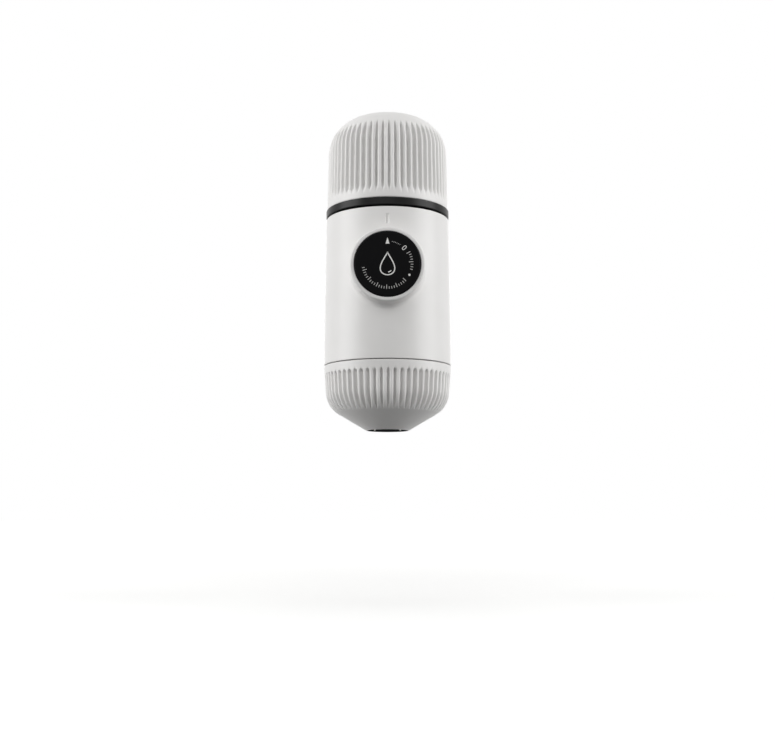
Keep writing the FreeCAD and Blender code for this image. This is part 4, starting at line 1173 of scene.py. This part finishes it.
def seen_directly(tree):
    """1 for rays that show the stage itself or its mirror image, 0 for rays that only carry its light."""
    path = add_node(tree, "ShaderNodeLightPath")
    mirrored = add_node(tree, "ShaderNodeMath", {
        0: path.outputs["Is Glossy Ray"], 1: path.outputs["Is Transmission Ray"]}, operation="MAXIMUM")
    return add_node(tree, "ShaderNodeMath", {0: path.outputs["Is Camera Ray"], 1: mirrored.outputs[0]},
                    operation="MAXIMUM").outputs[0]


def studio_floor():
    """Matt white card: it is seen pale and glows more towards its far edge, so that no horizon shows.

    Rays that only carry its light find it mid grey, so that it doesn't wash out the maker's underside.
    """
    material = bpy.data.materials.new("Studio floor, matt white")
    tree = fresh_tree(material)
    colours = settings().colours
    seen = seen_directly(tree)
    pale = add_node(tree, "ShaderNodeMix", {
        "Factor": seen, 6: rgba(colours.floor_bounce), 7: rgba(colours.floor)}, data_type="RGBA")
    matt = add_node(tree, "ShaderNodeBsdfDiffuse", {"Color": pale.outputs[2]})
    place = add_node(tree, "ShaderNodeTexCoord").outputs["Object"]
    away = add_node(tree, "ShaderNodeVectorMath", {0: place}, operation="LENGTH")
    fade = add_node(tree, "ShaderNodeMapRange", {
        "Value": away.outputs["Value"], "From Min": 0.0, "From Max": GLOW_REACH,
        "To Min": GLOW_NEAR, "To Max": GLOW_FAR})
    glow = add_node(tree, "ShaderNodeMath", {0: seen, 1: fade.outputs["Result"]}, operation="MULTIPLY")
    glowing = add_node(tree, "ShaderNodeEmission", {"Strength": glow.outputs[0]})
    both = add_node(tree, "ShaderNodeAddShader", {0: matt.outputs[0], 1: glowing.outputs[0]})
    add_node(tree, "ShaderNodeOutputMaterial", {"Surface": both.outputs[0]})
    return material


class ESPRESSO_OT_stage(bpy.types.Operator):
    """Set the floor, the lamps and the camera"""

    bl_idname = "espresso.stage"
    bl_label = "Stage"

    def execute(self, context):
        scene = context.scene
        scene.view_settings.view_transform = "Standard"

        points, faces = turned(np.array(((0.0, FLOOR_HEIGHT), (FLOOR_RADIUS, FLOOR_HEIGHT))), 64)
        mesh = bpy.data.meshes.new("studio_floor")
        mesh.from_pydata(points.tolist(), [], faces.tolist())
        mesh.validate()
        mesh.materials.append(studio_floor())
        floor = bpy.data.objects.new("studio_floor", mesh)
        scene.collection.objects.link(floor)

        world = bpy.data.worlds.new("Studio")
        tree = fresh_tree(world)
        strength = add_node(tree, "ShaderNodeMapRange", {
            "Value": seen_directly(tree), "To Min": SKY_LIGHT, "To Max": SKY_SEEN})
        sky = add_node(tree, "ShaderNodeBackground", {
            "Color": (1.0, 1.0, 1.0, 1.0), "Strength": strength.outputs["Result"]})
        add_node(tree, "ShaderNodeOutputWorld", {"Surface": sky.outputs[0]})
        scene.world = world

        for lamp in LAMPS:
            soft_lamp(*lamp)

        data = bpy.data.cameras.new("camera")
        data.sensor_width = SENSOR_WIDTH
        data.lens = FOCAL_PIXELS / RENDER_PIXELS * SENSOR_WIDTH
        camera = bpy.data.objects.new("camera", data)
        camera.location = CAMERA_PLACE
        camera.rotation_euler = (math.pi / 2 + CAMERA_PITCH, 0, 0)
        scene.collection.objects.link(camera)
        scene.camera = camera
        return {"FINISHED"}


class ESPRESSO_PT_panel(bpy.types.Panel):
    """Lists the espresso maker's pieces"""

    bl_idname = "ESPRESSO_PT_panel"
    bl_label = "Espresso Maker"
    bl_space_type = "VIEW_3D"
    bl_region_type = "UI"
    bl_category = "Espresso"

    def draw(self, context):
        for operator in OPERATORS:
            self.layout.operator(operator.bl_idname)


OPERATORS = (
    ESPRESSO_OT_drinking_cup, ESPRESSO_OT_water_tank, ESPRESSO_OT_pump_shell, ESPRESSO_OT_brewing_head,
    ESPRESSO_OT_threads, ESPRESSO_OT_knob, ESPRESSO_OT_return_spring, ESPRESSO_OT_metal_parts,
    ESPRESSO_OT_nozzle, ESPRESSO_OT_inner_parts, ESPRESSO_OT_stage,
)
CLASSES = (FluteSizes, ShellSizes, WorkSizes, Colours, EspressoSettings, *OPERATORS, ESPRESSO_PT_panel)


def register():
    """Register the classes and hang the settings on the scene."""
    for item in CLASSES:
        bpy.utils.register_class(item)
    bpy.types.Scene.espresso = PointerProperty(type=EspressoSettings)


def unregister():
    """Take the settings off the scene and unregister the classes."""
    del bpy.types.Scene.espresso
    for item in reversed(CLASSES):
        bpy.utils.unregister_class(item)


def main():
    register()
    for operator in OPERATORS:
        group, name = operator.bl_idname.split(".")
        getattr(getattr(bpy.ops, group), name)()


if __name__ == "__main__":
    main()
